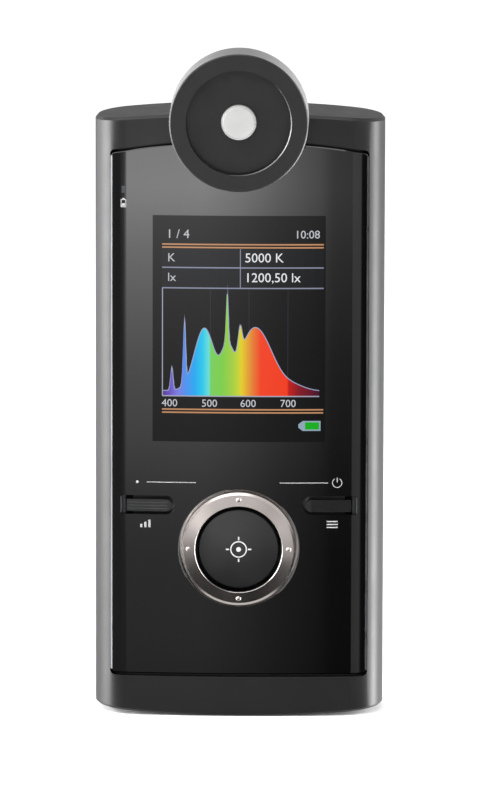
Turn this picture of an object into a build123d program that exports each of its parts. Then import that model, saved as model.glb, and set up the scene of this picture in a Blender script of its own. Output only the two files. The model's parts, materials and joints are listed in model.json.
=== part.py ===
"""Handheld spectral light meter with a flip-over sensor head, in millimetres.

The meter stands upright: +Z runs up its length, its display faces -Y and +X is to the
right of someone who reads the display. The origin is the mouth of the tripod thread in
the middle of the foot. Depths are written as distances in front of the mid-plane, so a
positive depth lies towards the display and a negative one towards the back.
"""

from build123d import *
import math
import os

# Casing: overall form
body_width = 60.0
body_height = 127.0
body_depth = 18.4
face_bow = 1.6
side_radius = 7.2
foot_bow = 1.75
top_bow = 1.6
foot_flat = 0.15
foot_edge = 0.45
top_edge = 0.6

# Casing: walls
front_wall = 3.2
rear_wall = 2.4
side_wall = 2.6
corner_wall = 1.8
foot_wall = 3.4
top_wall = 2.6

# Front window
glass_side = 3.3
glass_foot = 8.9
glass_head = 5.9
glass_top_bow = 2.6
glass_corner = 1.0
glass_thickness = 1.2
glass_gap = 0.12
glass_groove = 0.4
glass_chamfer = 0.25
tape_thickness = 0.2
tape_margin = 0.5
tape_width = 2.6

# Display
screen_side = 12.1
screen_mat_gap = 8.15
screen_head = 15.45
screen_margin = 0.3
display_rim = 1.8
display_thickness = 2.4
gasket_width = 1.1
gasket_thickness = 0.4
holder_clearance = 0.15
holder_wall = 0.9
holder_base = 0.8
holder_leg = 0.6
flex_width = 16.0
flex_thickness = 0.2
flex_drop = 2.2

# Circuit board and what it carries
board_thickness = 1.0
board_gap = 1.2
boss_radius = 2.2
boss_inset = 6.4
boss_low = 30.0
boss_head = 43.0
screw_radius = 0.9
screw_head_radius = 1.7
screw_head_height = 0.9
switch_size = 4.0
switch_height = 0.8
chip_height = 1.1
chip_size = 7.0
chip_pitch = 11.0
chip_screw_gap = 3.9
shield_width = 22.0
shield_height = 13.0
shield_depth = 2.4
shield_sheet = 0.4
coin_radius = 5.0
coin_depth = 2.4
buzzer_size = 8.4
buzzer_gap = 1.9
buzzer_depth = 2.6
buzzer_bore = 0.9
led_size = 1.8
led_depth = 0.7
pipe_radius = 0.8
pipe_flange = 0.5
led_side = 6.0
led_head = 16.1

# Casing screws
case_boss_radius = 2.5
case_boss_low = 10.5
case_boss_head = 23.0
case_screw_radius = 1.0
case_screw_head_radius = 2.0
case_screw_head_height = 1.3
case_screw_sink = 2.0
case_screw_length = 9.0

# Navigation ring and measuring button
ring_up = 35.65
ring_outer = 11.9
ring_inner = 9.0
ring_gap = 0.55
ring_stand = 1.3
ring_slope = 0.45
ring_lip = 0.5
ring_lip_drop = 0.25
ring_chamfer = 0.15
ring_skirt_inner = 9.9
ring_flange = 1.0
ring_flange_thickness = 0.6
rocker_gap = 0.4
rocker_outer = 12.4
rocker_inner = 9.7
rocker_thickness = 0.6
measure_radius = 8.55
measure_crown = 1.1
measure_rim = 0.3
measure_edge = 0.4
measure_wall = 1.3
measure_flange = 0.65
plunger_radius = 1.6
travel = 0.4

# Side keys
key_rise = 9.01
key_bridge = 0.65
key_gap_inner = 0.8
key_gap_outer = 1.1
key_gap_side = 0.75
key_stand = 0.4
slot_side = 5.6
slot_height = 4.0
key_flange = 0.8
key_flange_thickness = 0.8
rest_gap = 0.05
nub_size = 2.6

# Key mat
mat_thickness = 0.8
mat_side = 4.5
mat_boss_gap = 1.0
mat_ring_foot = 1.75
mat_key_foot = 4.66
mat_key_head = 5.34

# Sensor head
head_radius = 14.3
head_depth = 10.8
head_rise = 6.2
head_gap = 0.8
head_edge = 0.25
head_back_edge = 0.9
head_wall = 1.4
head_shell_depth = 3.2
head_floor = 1.5
recess_rim = 3.4
recess_depth = 2.0
recess_floor = 1.2
diffuser_radius = 3.6
diffuser_stand = 1.5
diffuser_bevel = 0.5
diffuser_flange = 1.5
diffuser_flange_thickness = 0.8
seat_clearance = 0.1
light_holder_wall = 2.1
light_holder_web = 1.0
light_stop_radius = 1.2
filter_size = 4.0
filter_thickness = 0.6
sensor_width = 15.0
sensor_height = 10.0
head_board_gap = 0.4
head_board_thickness = 0.8
head_boss_radius = 1.6
head_screw_radius = 0.8
head_screw_head_radius = 1.4
head_screw_head_height = 0.9
head_boss_gap = 0.5
head_screw_angle = 60
head_screw_length = 4.6

# Head hinge
pivot_head = 6.5
hub_radius = 6.1
hub_gap = 0.4
notch_lap = 0.7
neck_step = 3.85
neck_rise = 0.4
glass_step = 1.4
bush_outer = 3.3
bush_length = 5.0
axle_radius = 2.4
axle_bore = 1.4
axle_flange_radius = 3.6
axle_flange_thickness = 1.0
running_gap = 0.05
cheek_wall = 1.85
washer_outer = 5.2
washer_thickness = 0.3
channel_half = 7.0
channel_low = 1.5
channel_high = 4.7
cable_radius = 0.7
lead_radius = 0.7
lead_room = 3.0

# Battery and its door
battery_side = 13.0
battery_depth = 4.6
battery_edge = 1.2
battery_lift = 1.4
pocket_clearance = 0.4
pocket_lip = 0.5
pocket_step = 1.3
door_side = 1.8
door_foot = 18.3
door_head = 49.3
door_thickness = 1.8
door_gap = 0.3
box_wall = 1.2
box_floor = 0.8
contact_width = 9.0
contact_height = 2.4
contact_room = 1.2
blade_width = 1.0
blade_pitch = 3.0
blade_bite = 0.3
hook_across = 10.0
hook_width = 4.0
hook_reach = 1.4
hook_height = 1.6
hook_depth = 1.2
grip_width = 12.0
grip_pitch = 1.6
grip_depth = 0.4
grip_count = 4

# Sockets and flap in the foot
flap_lip = 0.4
flap_front = 5.4
flap_rear = 1.6
flap_inner = 1.9
flap_gap = 0.3
usb_step = 2.0
usb_height = 5.6
usb_depth = 2.6
usb_sheet = 0.35
usb_tongue = 0.7
usb_foot = 2.2
card_insert_gap = 2.7
card_boss_gap = 0.3
card_height = 12.4
card_depth = 1.5
card_edge = 0.3
card_slot_depth = 0.8
card_foot = 3.6

# Tripod thread
thread_radius = 2.6
insert_radius = 4.2
insert_length = 8.0
collar_radius = 5.0
collar_thickness = 1.6
insert_boss_wall = 1.5

# Shared by all cuts
overrun = 4.0

# Depths in front of the mid-plane, worked out from the sizes above
skin = body_depth / 2
half_width = body_width / 2
side_half = skin - face_bow
cavity_front = skin - front_wall
cavity_rear = skin - rear_wall
display_front = cavity_front - gasket_thickness
display_rear = display_front - display_thickness
holder_rear = display_rear - holder_base
board_front = holder_rear - holder_leg
board_rear = board_front - board_thickness
mat_rear = board_front + switch_height
mat_front = mat_rear + mat_thickness
rocker_rear = mat_front + rocker_gap
rocker_front = rocker_rear + rocker_thickness
flange_rear = rocker_front + rocker_gap
flange_front = flange_rear + ring_flange_thickness
head_rear = skin + head_gap
head_front = head_rear + head_depth
head_seam = head_rear + head_shell_depth
head_inner_rear = head_rear + head_floor
recess_face = head_front - recess_depth
head_inner_front = recess_face - recess_floor
bore_step = axle_radius + running_gap
boss_across = half_width - boss_inset

# Heights and widths worked out from the sizes above
glass_width = body_width - 2 * glass_side
glass_top = body_height - glass_head
screen_width = body_width - 2 * screen_side
led_place = (led_side - half_width, body_height - led_head)
boss_high = body_height - boss_head
case_boss_high = body_height - case_boss_head
key_up = ring_up + key_rise
mat_top = key_up + mat_key_head
screen_foot = mat_top + screen_mat_gap
screen_height = glass_top - screen_head - screen_foot
screen_middle = screen_foot + screen_height / 2
key_height = slot_height - 2 * key_gap_side
slot_inner = ring_outer + ring_gap + key_bridge
slot_outer = half_width - slot_side
key_inner = slot_inner + key_gap_inner
key_outer = slot_outer - key_gap_outer
pivot_up = body_height - pivot_head
head_up = pivot_up + head_rise
notch_half = head_radius - notch_lap
hub_half = notch_half - hub_gap
neck_half = hub_half - neck_step
recess_radius = head_radius - recess_rim
head_screw_circle = head_radius - head_wall - head_boss_radius - head_boss_gap
insert_boss = collar_radius + insert_boss_wall
card_left = insert_boss + card_insert_gap
card_right = boss_across - case_boss_radius - card_boss_gap
card_width = card_right - card_left
flap_middle = (card_left + card_right) / 2
flap_width = card_width + 2 * flap_lip
door_top = body_height - door_head
pocket_top = door_top - pocket_lip
pocket_foot = door_foot + pocket_step
battery_width = body_width - 2 * battery_side
battery_foot = pocket_foot + battery_lift
battery_height = pocket_top - contact_height - contact_room - battery_foot
door_width = battery_width + 2 * door_side
usb_width = card_width - 2 * usb_step


def facing(depth):
    """The upright plane at a depth in front of the mid-plane; its local Y is the world's Z."""
    return Plane.XZ.offset(depth)


def casing_section(inset=0):
    """The casing's cross-section, with bowed faces and round sides, drawn in from the skin."""
    with BuildSketch(Plane.XY.offset(-overrun)) as section:
        with BuildLine():
            ThreePointArc((-half_width, -side_half), (0, -skin), (half_width, -side_half))
            Line((half_width, -side_half), (half_width, side_half))
            ThreePointArc((half_width, side_half), (0, skin), (-half_width, side_half))
            Line((-half_width, side_half), (-half_width, -side_half))
        make_face()
        fillet(section.vertices(), radius=side_radius)
        if inset:
            offset(amount=-inset, kind=Kind.ARC)
    return section.sketch


def skin_layer(outer_inset, inner_inset):
    """A layer that follows the casing's skin, between two depths below it."""
    with BuildPart() as layer:
        with BuildSketch(Plane.XY.offset(-overrun)):
            add(casing_section(outer_inset))
            add(casing_section(inner_inset), mode=Mode.SUBTRACT)
        extrude(amount=body_height + 2 * overrun)
    return layer.part


def window_prism(margin, depth, groove=0):
    """The window's outline, grown by a margin and at its ends by a groove, as a prism from the mid-plane."""
    half = glass_width / 2 + margin
    foot = glass_foot - margin - groove
    crown = glass_top + margin + groove
    with BuildPart() as prism:
        with BuildSketch(Plane.XZ) as outline:
            with BuildLine():
                Line((-half, crown - glass_top_bow), (-half, foot))
                Line((-half, foot), (half, foot))
                Line((half, foot), (half, crown - glass_top_bow))
                ThreePointArc((half, crown - glass_top_bow), (0, crown), (-half, crown - glass_top_bow))
            make_face()
            fillet(outline.vertices(), radius=glass_corner + margin)
        extrude(amount=depth)
    return prism.part


def key_shape(side, inner, outer, height):
    """A key's outline: round towards the middle of the meter, square towards its edge."""
    radius = height / 2
    with BuildSketch() as shape:
        with Locations((side * (inner + radius), key_up)):
            Circle(radius)
        with Locations((side * (inner + radius + outer) / 2, key_up)):
            Rectangle(outer - inner - radius, height)
    return shape.sketch


def front_openings(grow=0):
    """The cut-outs through the front: the ring's hole and both key slots."""
    with BuildPart() as openings:
        with BuildSketch(Plane.XZ):
            with Locations((0, ring_up)):
                Circle(ring_outer + ring_gap + grow)
            for side in (-1, 1):
                add(key_shape(side, slot_inner - grow, slot_outer + grow, slot_height + 2 * grow))
        extrude(amount=skin + overrun)
    return openings.part


def notch_form():
    """The space between the shoulders that the head's hub, neck and swing take up."""
    radius = hub_radius + hub_gap
    front_floor = glass_top - glass_step
    drop = pivot_up - front_floor
    meet = math.sqrt(radius**2 - drop**2)
    diagonal = radius / math.sqrt(2)
    reach = skin + overrun
    rise = body_height + overrun
    with BuildPart() as notch:
        with BuildSketch(Plane.YZ):
            with BuildLine():
                Line((-reach, front_floor), (-meet, front_floor))
                ThreePointArc(
                    (-meet, front_floor),
                    (-diagonal, pivot_up - diagonal),
                    (0, pivot_up - radius),
                )
                Line((0, pivot_up - radius), (reach, pivot_up - radius))
                Line((reach, pivot_up - radius), (reach, rise))
                Line((reach, rise), (-reach, rise))
                Line((-reach, rise), (-reach, front_floor))
            make_face()
        extrude(amount=notch_half, both=True)
    return notch.part


def cavity_form():
    """The hollow inside the casing, with room in both shoulders beside the hub's cheeks."""
    inner_half = half_width - side_wall
    cheek = notch_half + cheek_wall
    cheek_floor = pivot_up - hub_radius - hub_gap - cheek_wall
    with BuildPart() as cavity:
        with BuildSketch(Plane.XY.offset(foot_wall)) as plan:
            with Locations((0, (cavity_rear - cavity_front) / 2)):
                Rectangle(2 * inner_half, cavity_rear + cavity_front)
            fillet(plan.vertices(), radius=side_radius - corner_wall)
        extrude(amount=body_height - foot_wall - top_wall)
        with BuildSketch(Plane.XY.offset(cheek_floor)):
            Rectangle(2 * cheek, 2 * body_depth)
        extrude(amount=body_height, mode=Mode.SUBTRACT)
    return cavity.part


def insert_form():
    """The tripod insert's outer form: a plug with a collar that keeps it in the casing."""
    with BuildPart() as plug:
        Cylinder(insert_radius, insert_length, align=(Align.CENTER, Align.CENTER, Align.MIN))
        with BuildSketch(Plane.XY.offset(foot_wall)):
            RegularPolygon(collar_radius, 6)
        extrude(amount=collar_thickness)
    return plug.part


def socket_cuts():
    """The flap's seat in the foot, and the mouths of the two sockets above it."""
    with BuildPart() as cuts:
        with BuildSketch(Plane.XY.offset(-overrun)):
            with Locations((flap_middle, (flap_rear - flap_front) / 2)):
                Rectangle(flap_width + 2 * flap_gap, flap_front + flap_rear + 2 * flap_gap)
        extrude(amount=flap_inner + overrun)
        with BuildSketch(Plane.XY):
            with Locations((flap_middle, -board_front - usb_depth / 2)):
                Rectangle(usb_width + 2 * seat_clearance, usb_depth + 2 * seat_clearance)
            with Locations((flap_middle, -board_rear + card_depth / 2)):
                Rectangle(card_width - 2 * card_edge, card_slot_depth)
        extrude(amount=foot_wall + overrun)
    return cuts.part


def window_pocket():
    """The seat in the front that takes the window and its tape."""
    with BuildPart() as pocket:
        add(window_prism(glass_gap, skin + overrun, glass_groove))
        add(skin_layer(0, glass_thickness + tape_thickness), mode=Mode.INTERSECT)
    return pocket.part


def door_seat():
    """The seat in the back that takes the battery door."""
    with BuildPart() as seat:
        with BuildSketch(Plane.XZ):
            with Locations((0, (door_foot + door_top) / 2)):
                Rectangle(door_width + 2 * door_gap, door_top - door_foot + 2 * door_gap)
        extrude(amount=-(skin + overrun))
        add(skin_layer(0, door_thickness), mode=Mode.INTERSECT)
    return seat.part


def raised_skin():
    """The casing's form moved forwards by the height that the keys stand out."""
    with BuildPart() as crown:
        with BuildSketch(Plane.XY):
            add(casing_section())
        extrude(amount=body_height)
    return crown.part.moved(Location((0, -key_stand, 0)))


def case_boss_places():
    """Where the four casing screws stand."""
    return [(side * boss_across, up) for side in (-1, 1) for up in (case_boss_low, case_boss_high)]


def board_boss_places():
    """Where the four circuit board screws stand."""
    return [(side * boss_across, up) for side in (-1, 1) for up in (boss_low, boss_high)]


def head_screw_places():
    """Where the four head screws stand, clear of the neck."""
    angle = math.radians(head_screw_angle)
    across = head_screw_circle * math.cos(angle)
    rise = head_screw_circle * math.sin(angle)
    return [(i * across, head_up + j * rise) for i in (-1, 1) for j in (-1, 1)]


# Casing form, shared by the front frame, the rear cover, the door and the flap
with BuildPart() as casing_form:
    with BuildSketch(Plane.XY.offset(-overrun)):
        add(casing_section())
    extrude(amount=body_height + 2 * overrun)
    with BuildSketch(facing(-skin - overrun)):
        reach = half_width + overrun
        sweep_share = (reach / half_width) ** 2
        foot_side = foot_bow * sweep_share - foot_flat
        top_side = body_height - top_bow * sweep_share
        with BuildLine():
            ThreePointArc((-reach, foot_side), (0, -foot_flat), (reach, foot_side))
            Line((reach, foot_side), (reach, top_side))
            ThreePointArc((reach, top_side), (0, body_height), (-reach, top_side))
            Line((-reach, top_side), (-reach, foot_side))
        make_face()
    extrude(amount=2 * (skin + overrun), mode=Mode.INTERSECT)
    chamfer(casing_form.faces().sort_by(Axis.Z)[-1].edges(), length=top_edge)
    chamfer(casing_form.faces().sort_by(Axis.Z)[0].edges(), length=foot_edge)
    split(bisect_by=Plane.XY, keep=Keep.TOP)

# Front frame
with BuildPart() as front_frame:
    add(casing_form.part)
    split(bisect_by=Plane.XZ, keep=Keep.TOP)
    add(cavity_form(), mode=Mode.SUBTRACT)
    with BuildSketch(facing(board_front)):
        with Locations(*board_boss_places()):
            Circle(boss_radius)
    extrude(amount=cavity_front - board_front + overrun / 2)
    with BuildSketch(Plane.XZ):
        with Locations(*case_boss_places()):
            Circle(case_boss_radius)
    extrude(amount=cavity_front + overrun / 4)
    with BuildSketch(Plane.XY.offset(foot_edge)):
        Circle(insert_boss)
    extrude(amount=insert_length - foot_edge)
    split(bisect_by=Plane.XZ, keep=Keep.TOP)
    add(casing_form.part, mode=Mode.INTERSECT)
    add(insert_form(), mode=Mode.SUBTRACT)
    add(notch_form(), mode=Mode.SUBTRACT)
    add(window_pocket(), mode=Mode.SUBTRACT)
    add(front_openings(), mode=Mode.SUBTRACT)
    with BuildSketch(Plane.XZ):
        with Locations((0, screen_middle)):
            Rectangle(screen_width + 2 * screen_margin, screen_height + 2 * screen_margin)
        with Locations(led_place):
            Circle(pipe_radius)
    extrude(amount=skin + overrun, mode=Mode.SUBTRACT)
    with BuildSketch(Plane.YZ.offset(-half_width + side_wall)):
        with Locations((0, pivot_up)):
            Circle(axle_radius)
    extrude(amount=2 * (half_width - side_wall), mode=Mode.SUBTRACT)
    with BuildSketch(facing(board_front)):
        with Locations(*board_boss_places()):
            Circle(screw_radius)
    extrude(amount=cavity_front - board_front, mode=Mode.SUBTRACT)
    with BuildSketch(Plane.XZ):
        with Locations(*case_boss_places()):
            Circle(case_screw_radius)
    extrude(amount=cavity_front - screw_radius, mode=Mode.SUBTRACT)
    add(socket_cuts(), mode=Mode.SUBTRACT)

# Rear cover
box_half = door_width / 2 + door_gap + box_wall
box_low = door_foot - door_gap - box_wall
box_high = door_top + door_gap + box_wall
box_front = cavity_rear - battery_depth - pocket_clearance - box_floor - seat_clearance
with BuildPart() as rear_cover:
    add(casing_form.part)
    split(bisect_by=Plane.XZ, keep=Keep.BOTTOM)
    add(cavity_form(), mode=Mode.SUBTRACT)
    with BuildSketch(facing(-box_front)):
        with Locations((0, (box_low + box_high) / 2)):
            Rectangle(2 * box_half, box_high - box_low)
    extrude(amount=-(cavity_rear - box_front + box_wall / 2))
    with BuildSketch(Plane.XZ):
        with Locations(*case_boss_places()):
            Circle(case_boss_radius)
    extrude(amount=-(cavity_rear + box_wall / 2))
    with BuildSketch(Plane.XY.offset(foot_edge)):
        Circle(insert_boss)
    extrude(amount=insert_length - foot_edge)
    split(bisect_by=Plane.XZ, keep=Keep.BOTTOM)
    add(casing_form.part, mode=Mode.INTERSECT)
    add(insert_form(), mode=Mode.SUBTRACT)
    add(notch_form(), mode=Mode.SUBTRACT)
    add(door_seat(), mode=Mode.SUBTRACT)
    with BuildSketch(facing(-box_front - box_floor)):
        with Locations((0, (pocket_foot + pocket_top) / 2)):
            Rectangle(battery_width + 2 * pocket_clearance, pocket_top - pocket_foot)
    extrude(amount=-(skin + overrun), mode=Mode.SUBTRACT)
    slot_half = hook_width / 2 + door_gap
    slot_floor = door_foot - hook_reach - door_gap
    slot_middle = (slot_floor + pocket_foot) / 2
    with BuildSketch(facing(-skin + door_thickness + face_bow / 4 - door_gap)):
        with Locations((-hook_across, slot_middle), (hook_across, slot_middle)):
            Rectangle(2 * slot_half, pocket_foot - slot_floor)
    extrude(amount=hook_depth + 3 * door_gap, mode=Mode.SUBTRACT)
    with BuildSketch(facing(-box_front)):
        with Locations((0, pocket_top - contact_height / 2)):
            Rectangle(contact_width + 2 * seat_clearance, contact_height)
    extrude(amount=-box_floor, mode=Mode.SUBTRACT)
    with BuildSketch(Plane.XZ):
        with Locations(*case_boss_places()):
            Circle(case_screw_radius)
    extrude(amount=-(skin + overrun), mode=Mode.SUBTRACT)
    with BuildSketch(facing(-skin + case_screw_sink + case_screw_head_height)):
        with Locations(*case_boss_places()):
            Circle(case_screw_head_radius)
    extrude(amount=-(case_screw_sink + case_screw_head_height + overrun), mode=Mode.SUBTRACT)
    with BuildSketch(Plane.YZ.offset(-half_width + side_wall)):
        with Locations((0, pivot_up)):
            Circle(axle_radius)
    extrude(amount=2 * (half_width - side_wall), mode=Mode.SUBTRACT)
    add(socket_cuts(), mode=Mode.SUBTRACT)

# Front window
with BuildPart() as window:
    add(window_prism(0, skin + overrun))
    add(skin_layer(0, glass_thickness), mode=Mode.INTERSECT)
    chamfer(window.faces().sort_by(Axis.Y)[0].edges(), length=glass_chamfer)
    add(front_openings(), mode=Mode.SUBTRACT)
    add(notch_form(), mode=Mode.SUBTRACT)

# Adhesive tape that holds the window
with BuildPart() as window_tape:
    add(window_prism(-tape_margin, skin + overrun))
    add(skin_layer(glass_thickness, glass_thickness + tape_thickness), mode=Mode.INTERSECT)
    tape_bar = key_up + slot_height
    tape_half = glass_width / 2 - tape_margin - tape_width
    with BuildSketch(Plane.XZ):
        with Locations((0, (tape_bar + tape_width + glass_top - glass_top_bow - tape_width) / 2)):
            Rectangle(2 * tape_half, glass_top - glass_top_bow - tape_bar - 2 * tape_width)
        with Locations((0, (glass_foot + tape_width + tape_bar) / 2)):
            Rectangle(2 * tape_half, tape_bar - glass_foot - tape_width)
    extrude(amount=skin + overrun, mode=Mode.SUBTRACT)
    add(notch_form(), mode=Mode.SUBTRACT)

# Display module
display_width = screen_width + 2 * display_rim
display_height = screen_height + 2 * display_rim
with BuildPart() as display_module:
    with BuildSketch(facing(display_rear)):
        with Locations((0, screen_middle)):
            Rectangle(display_width, display_height)
    extrude(amount=display_thickness)

# Foam gasket round the display
with BuildPart() as display_gasket:
    with BuildSketch(facing(display_front)):
        with Locations((0, screen_middle)):
            inner_width = screen_width + 2 * screen_margin
            inner_height = screen_height + 2 * screen_margin
            Rectangle(inner_width + 2 * gasket_width, inner_height + 2 * gasket_width)
            Rectangle(inner_width, inner_height, mode=Mode.SUBTRACT)
    extrude(amount=gasket_thickness)

# Holder that carries the display on the circuit board
with BuildPart() as display_holder:
    rim_width = display_width + 2 * (holder_clearance + holder_wall)
    rim_height = display_height + 2 * (holder_clearance + holder_wall)
    with BuildSketch(facing(holder_rear)):
        with Locations((0, screen_middle)):
            Rectangle(rim_width, rim_height)
    extrude(amount=display_rear + display_thickness / 2 - holder_rear)
    with BuildSketch(facing(display_rear)):
        with Locations((0, screen_middle)):
            Rectangle(rim_width - 2 * holder_wall, rim_height - 2 * holder_wall)
    extrude(amount=display_thickness, mode=Mode.SUBTRACT)
    with BuildSketch(facing(board_front)):
        with Locations((0, screen_middle)):
            with GridLocations(rim_width - 2 * holder_wall, rim_height - 2 * holder_wall, 2, 2):
                Rectangle(2 * holder_wall, 2 * holder_wall)
    extrude(amount=holder_leg)
    with BuildSketch(facing(holder_rear)):
        with Locations((0, screen_middle)):
            with GridLocations(display_width / 2, display_height / 2, 2, 2):
                Rectangle(display_width / 3, display_height / 3)
    extrude(amount=holder_base, mode=Mode.SUBTRACT)
    with BuildSketch(facing(display_rear)):
        with Locations((0, screen_middle - rim_height / 2)):
            Rectangle(flex_width + 2 * holder_wall, 2 * (holder_wall + holder_clearance))
    extrude(amount=display_thickness, mode=Mode.SUBTRACT)

# Flexible lead from the display's lower edge down to the circuit board
flex_top = screen_middle - display_height / 2
with BuildPart() as display_flex:
    middle = display_rear + display_thickness / 2
    with BuildSketch(Plane.YZ) as path_section:
        with BuildLine():
            Polyline(
                (-middle, flex_top),
                (-middle, flex_top - flex_drop),
                (-board_front - flex_thickness, flex_top - 2 * flex_drop),
                (-board_front - flex_thickness, flex_top - 3 * flex_drop),
                (-board_front, flex_top - 3 * flex_drop),
                (-board_front, flex_top - 2 * flex_drop + flex_thickness),
                (-middle + flex_thickness, flex_top - flex_drop + flex_thickness / 2),
                (-middle + flex_thickness, flex_top),
                close=True,
            )
        make_face()
    extrude(amount=flex_width / 2, both=True)

# Main circuit board
board_half = half_width - side_wall - board_gap
board_foot = foot_wall + board_gap
board_top = pivot_up - hub_radius - hub_gap - cheek_wall - board_gap
ear_inner = notch_half + cheek_wall + board_gap
ear_rise = 2 * board_gap
with BuildPart() as main_board:
    with BuildSketch(facing(board_rear)):
        with Locations((0, (board_foot + board_top) / 2)):
            Rectangle(2 * board_half, board_top - board_foot)
        for side in (-1, 1):
            with Locations((side * (ear_inner + board_half) / 2, board_top)):
                Rectangle(board_half - ear_inner, 2 * ear_rise)
        with Locations(*case_boss_places()):
            notch_width = 2 * (case_boss_radius + board_gap)
            Rectangle(notch_width, notch_width, mode=Mode.SUBTRACT)
        with Locations(*board_boss_places()):
            Circle(screw_radius, mode=Mode.SUBTRACT)
        with Locations((0, 0)):
            Rectangle(2 * (insert_boss + board_gap), 2 * (insert_length + board_gap), mode=Mode.SUBTRACT)
    extrude(amount=board_thickness)

# Screws that hold the circuit board to the frame
with BuildPart() as board_screws:
    with BuildSketch(facing(board_rear)):
        with Locations(*board_boss_places()):
            RegularPolygon(screw_radius, 6)
    extrude(amount=board_thickness + cavity_front - board_front)
    with BuildSketch(facing(board_rear - screw_head_height)):
        with Locations(*board_boss_places()):
            RegularPolygon(screw_head_radius, 6)
    extrude(amount=screw_head_height)

# Switches under the ring and the keys
rocker_reach = (rocker_outer + rocker_inner) / 2
key_middle = (key_inner + key_outer) / 2
switch_places = [
    (0, ring_up),
    (rocker_reach, ring_up),
    (-rocker_reach, ring_up),
    (0, ring_up + rocker_reach),
    (0, ring_up - rocker_reach),
    (key_middle, key_up),
    (-key_middle, key_up),
]
with BuildPart() as key_switches:
    with BuildSketch(facing(board_front)):
        with Locations(*switch_places):
            Rectangle(switch_size, switch_size)
    extrude(amount=switch_height)

# Rubber mat between the keys and their switches
with BuildPart() as key_mat:
    with BuildSketch(facing(mat_rear)):
        mat_foot = ring_up - rocker_outer - mat_ring_foot
        with Locations((0, (mat_foot + mat_top) / 2)):
            Rectangle(2 * (boss_across - boss_radius - mat_boss_gap), mat_top - mat_foot)
        with Locations((0, key_up + (mat_key_head - mat_key_foot) / 2)):
            Rectangle(body_width - 2 * mat_side, mat_key_head + mat_key_foot)
    extrude(amount=mat_thickness)
    nub_front = cavity_front - rest_gap - key_flange_thickness - travel - rest_gap
    with BuildSketch(facing(mat_front)):
        with Locations((-key_middle, key_up), (key_middle, key_up)):
            Rectangle(nub_size, nub_size)
    extrude(amount=nub_front - mat_front)

# Side keys
def key_part(side):
    """One side key: a cap that follows the window's curve, on a flange that keeps it in."""
    flange_depth = cavity_front - rest_gap - key_flange_thickness
    flat_half = half_width - side_wall - side_radius + corner_wall
    with BuildPart() as key:
        with BuildSketch(facing(flange_depth)):
            add(key_shape(side, key_inner, key_outer, key_height))
        extrude(amount=skin - flange_depth)
        add(raised_skin(), mode=Mode.INTERSECT)
        with BuildSketch(facing(flange_depth)):
            add(key_shape(side, slot_inner - key_flange, flat_half, slot_height + key_flange))
        extrude(amount=key_flange_thickness)
    return key


data_button = key_part(-1)
menu_button = key_part(1)

# Navigation ring
ring_top = skin + ring_stand
with BuildPart() as nav_ring:
    with BuildSketch(Plane.YZ) as ring_section:
        with BuildLine():
            inner_floor = flange_front + (skin - flange_front) / 2
            Polyline(
                (-inner_floor, ring_up + ring_inner),
                (-ring_top + ring_chamfer, ring_up + ring_inner),
                (-ring_top, ring_up + ring_inner + ring_chamfer),
                (-ring_top + ring_slope, ring_up + ring_outer - ring_lip),
                (-ring_top + ring_slope + ring_lip_drop, ring_up + ring_outer),
                (-flange_front, ring_up + ring_outer),
                (-flange_front, ring_up + ring_outer + ring_flange),
                (-flange_rear, ring_up + ring_outer + ring_flange),
                (-flange_rear, ring_up + ring_skirt_inner),
                (-inner_floor, ring_up + ring_skirt_inner),
                close=True,
            )
        make_face()
    ring_axis = Axis((0, 0, ring_up), (0, -1, 0))
    revolve(axis=ring_axis, revolution_arc=360)

# Rocker ring under the navigation ring
with BuildPart() as ring_rocker:
    with BuildSketch(facing(rocker_rear)):
        with Locations((0, ring_up)):
            Circle(rocker_outer)
            Circle(rocker_inner, mode=Mode.SUBTRACT)
    extrude(amount=rocker_thickness)

# Measuring button
measure_rear = mat_front + rocker_gap + travel
with BuildPart() as measure_button:
    with BuildSketch(Plane.YZ):
        with BuildLine():
            crown = skin + measure_crown
            rim = skin + measure_rim
            TangentArc(
                (-crown, ring_up),
                (-rim - measure_edge / 2, ring_up + measure_radius - measure_edge),
                tangent=(0, 1),
            )
            Line(
                (-rim - measure_edge / 2, ring_up + measure_radius - measure_edge),
                (-rim + measure_edge, ring_up + measure_radius),
            )
            roof = skin - measure_wall
            Polyline(
                (-rim + measure_edge, ring_up + measure_radius),
                (-measure_rear - measure_edge, ring_up + measure_radius),
                (-measure_rear - measure_edge, ring_up + measure_radius + measure_flange),
                (-measure_rear, ring_up + measure_radius + measure_flange),
                (-measure_rear, ring_up + measure_radius - measure_wall),
                (-roof, ring_up + measure_radius - measure_wall),
                (-roof, ring_up + plunger_radius),
                (-measure_rear, ring_up + plunger_radius),
                (-measure_rear, ring_up),
                (-crown, ring_up),
            )
        make_face()
    revolve(axis=ring_axis, revolution_arc=360)

# Chips on the back of the circuit board, above the battery box
chip_row = box_high + board_gap + chip_size / 2
with BuildPart() as board_chips:
    with BuildSketch(facing(board_rear - chip_height)):
        chip_across = boss_across - screw_head_radius - chip_screw_gap - chip_size / 2
        for column in (0, 1):
            with Locations((column * chip_pitch - chip_across, chip_row)):
                Rectangle(chip_size, chip_size)
        with Locations((chip_size, board_foot + 2 * chip_size)):
            Rectangle(chip_size / 2, chip_size)
    extrude(amount=chip_height)

# Shield can over the radio and power parts
with BuildPart() as shield_can:
    shield_low = box_high + 2 * (board_gap + coin_radius)
    with BuildSketch(facing(board_rear - shield_depth)):
        with Locations((0, shield_low + shield_height / 2)):
            Rectangle(shield_width, shield_height)
    extrude(amount=shield_depth)
    with BuildSketch(facing(board_rear - shield_depth + shield_sheet)):
        with Locations((0, shield_low + shield_height / 2)):
            Rectangle(shield_width - 2 * shield_sheet, shield_height - 2 * shield_sheet)
    extrude(amount=shield_depth, mode=Mode.SUBTRACT)

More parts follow.
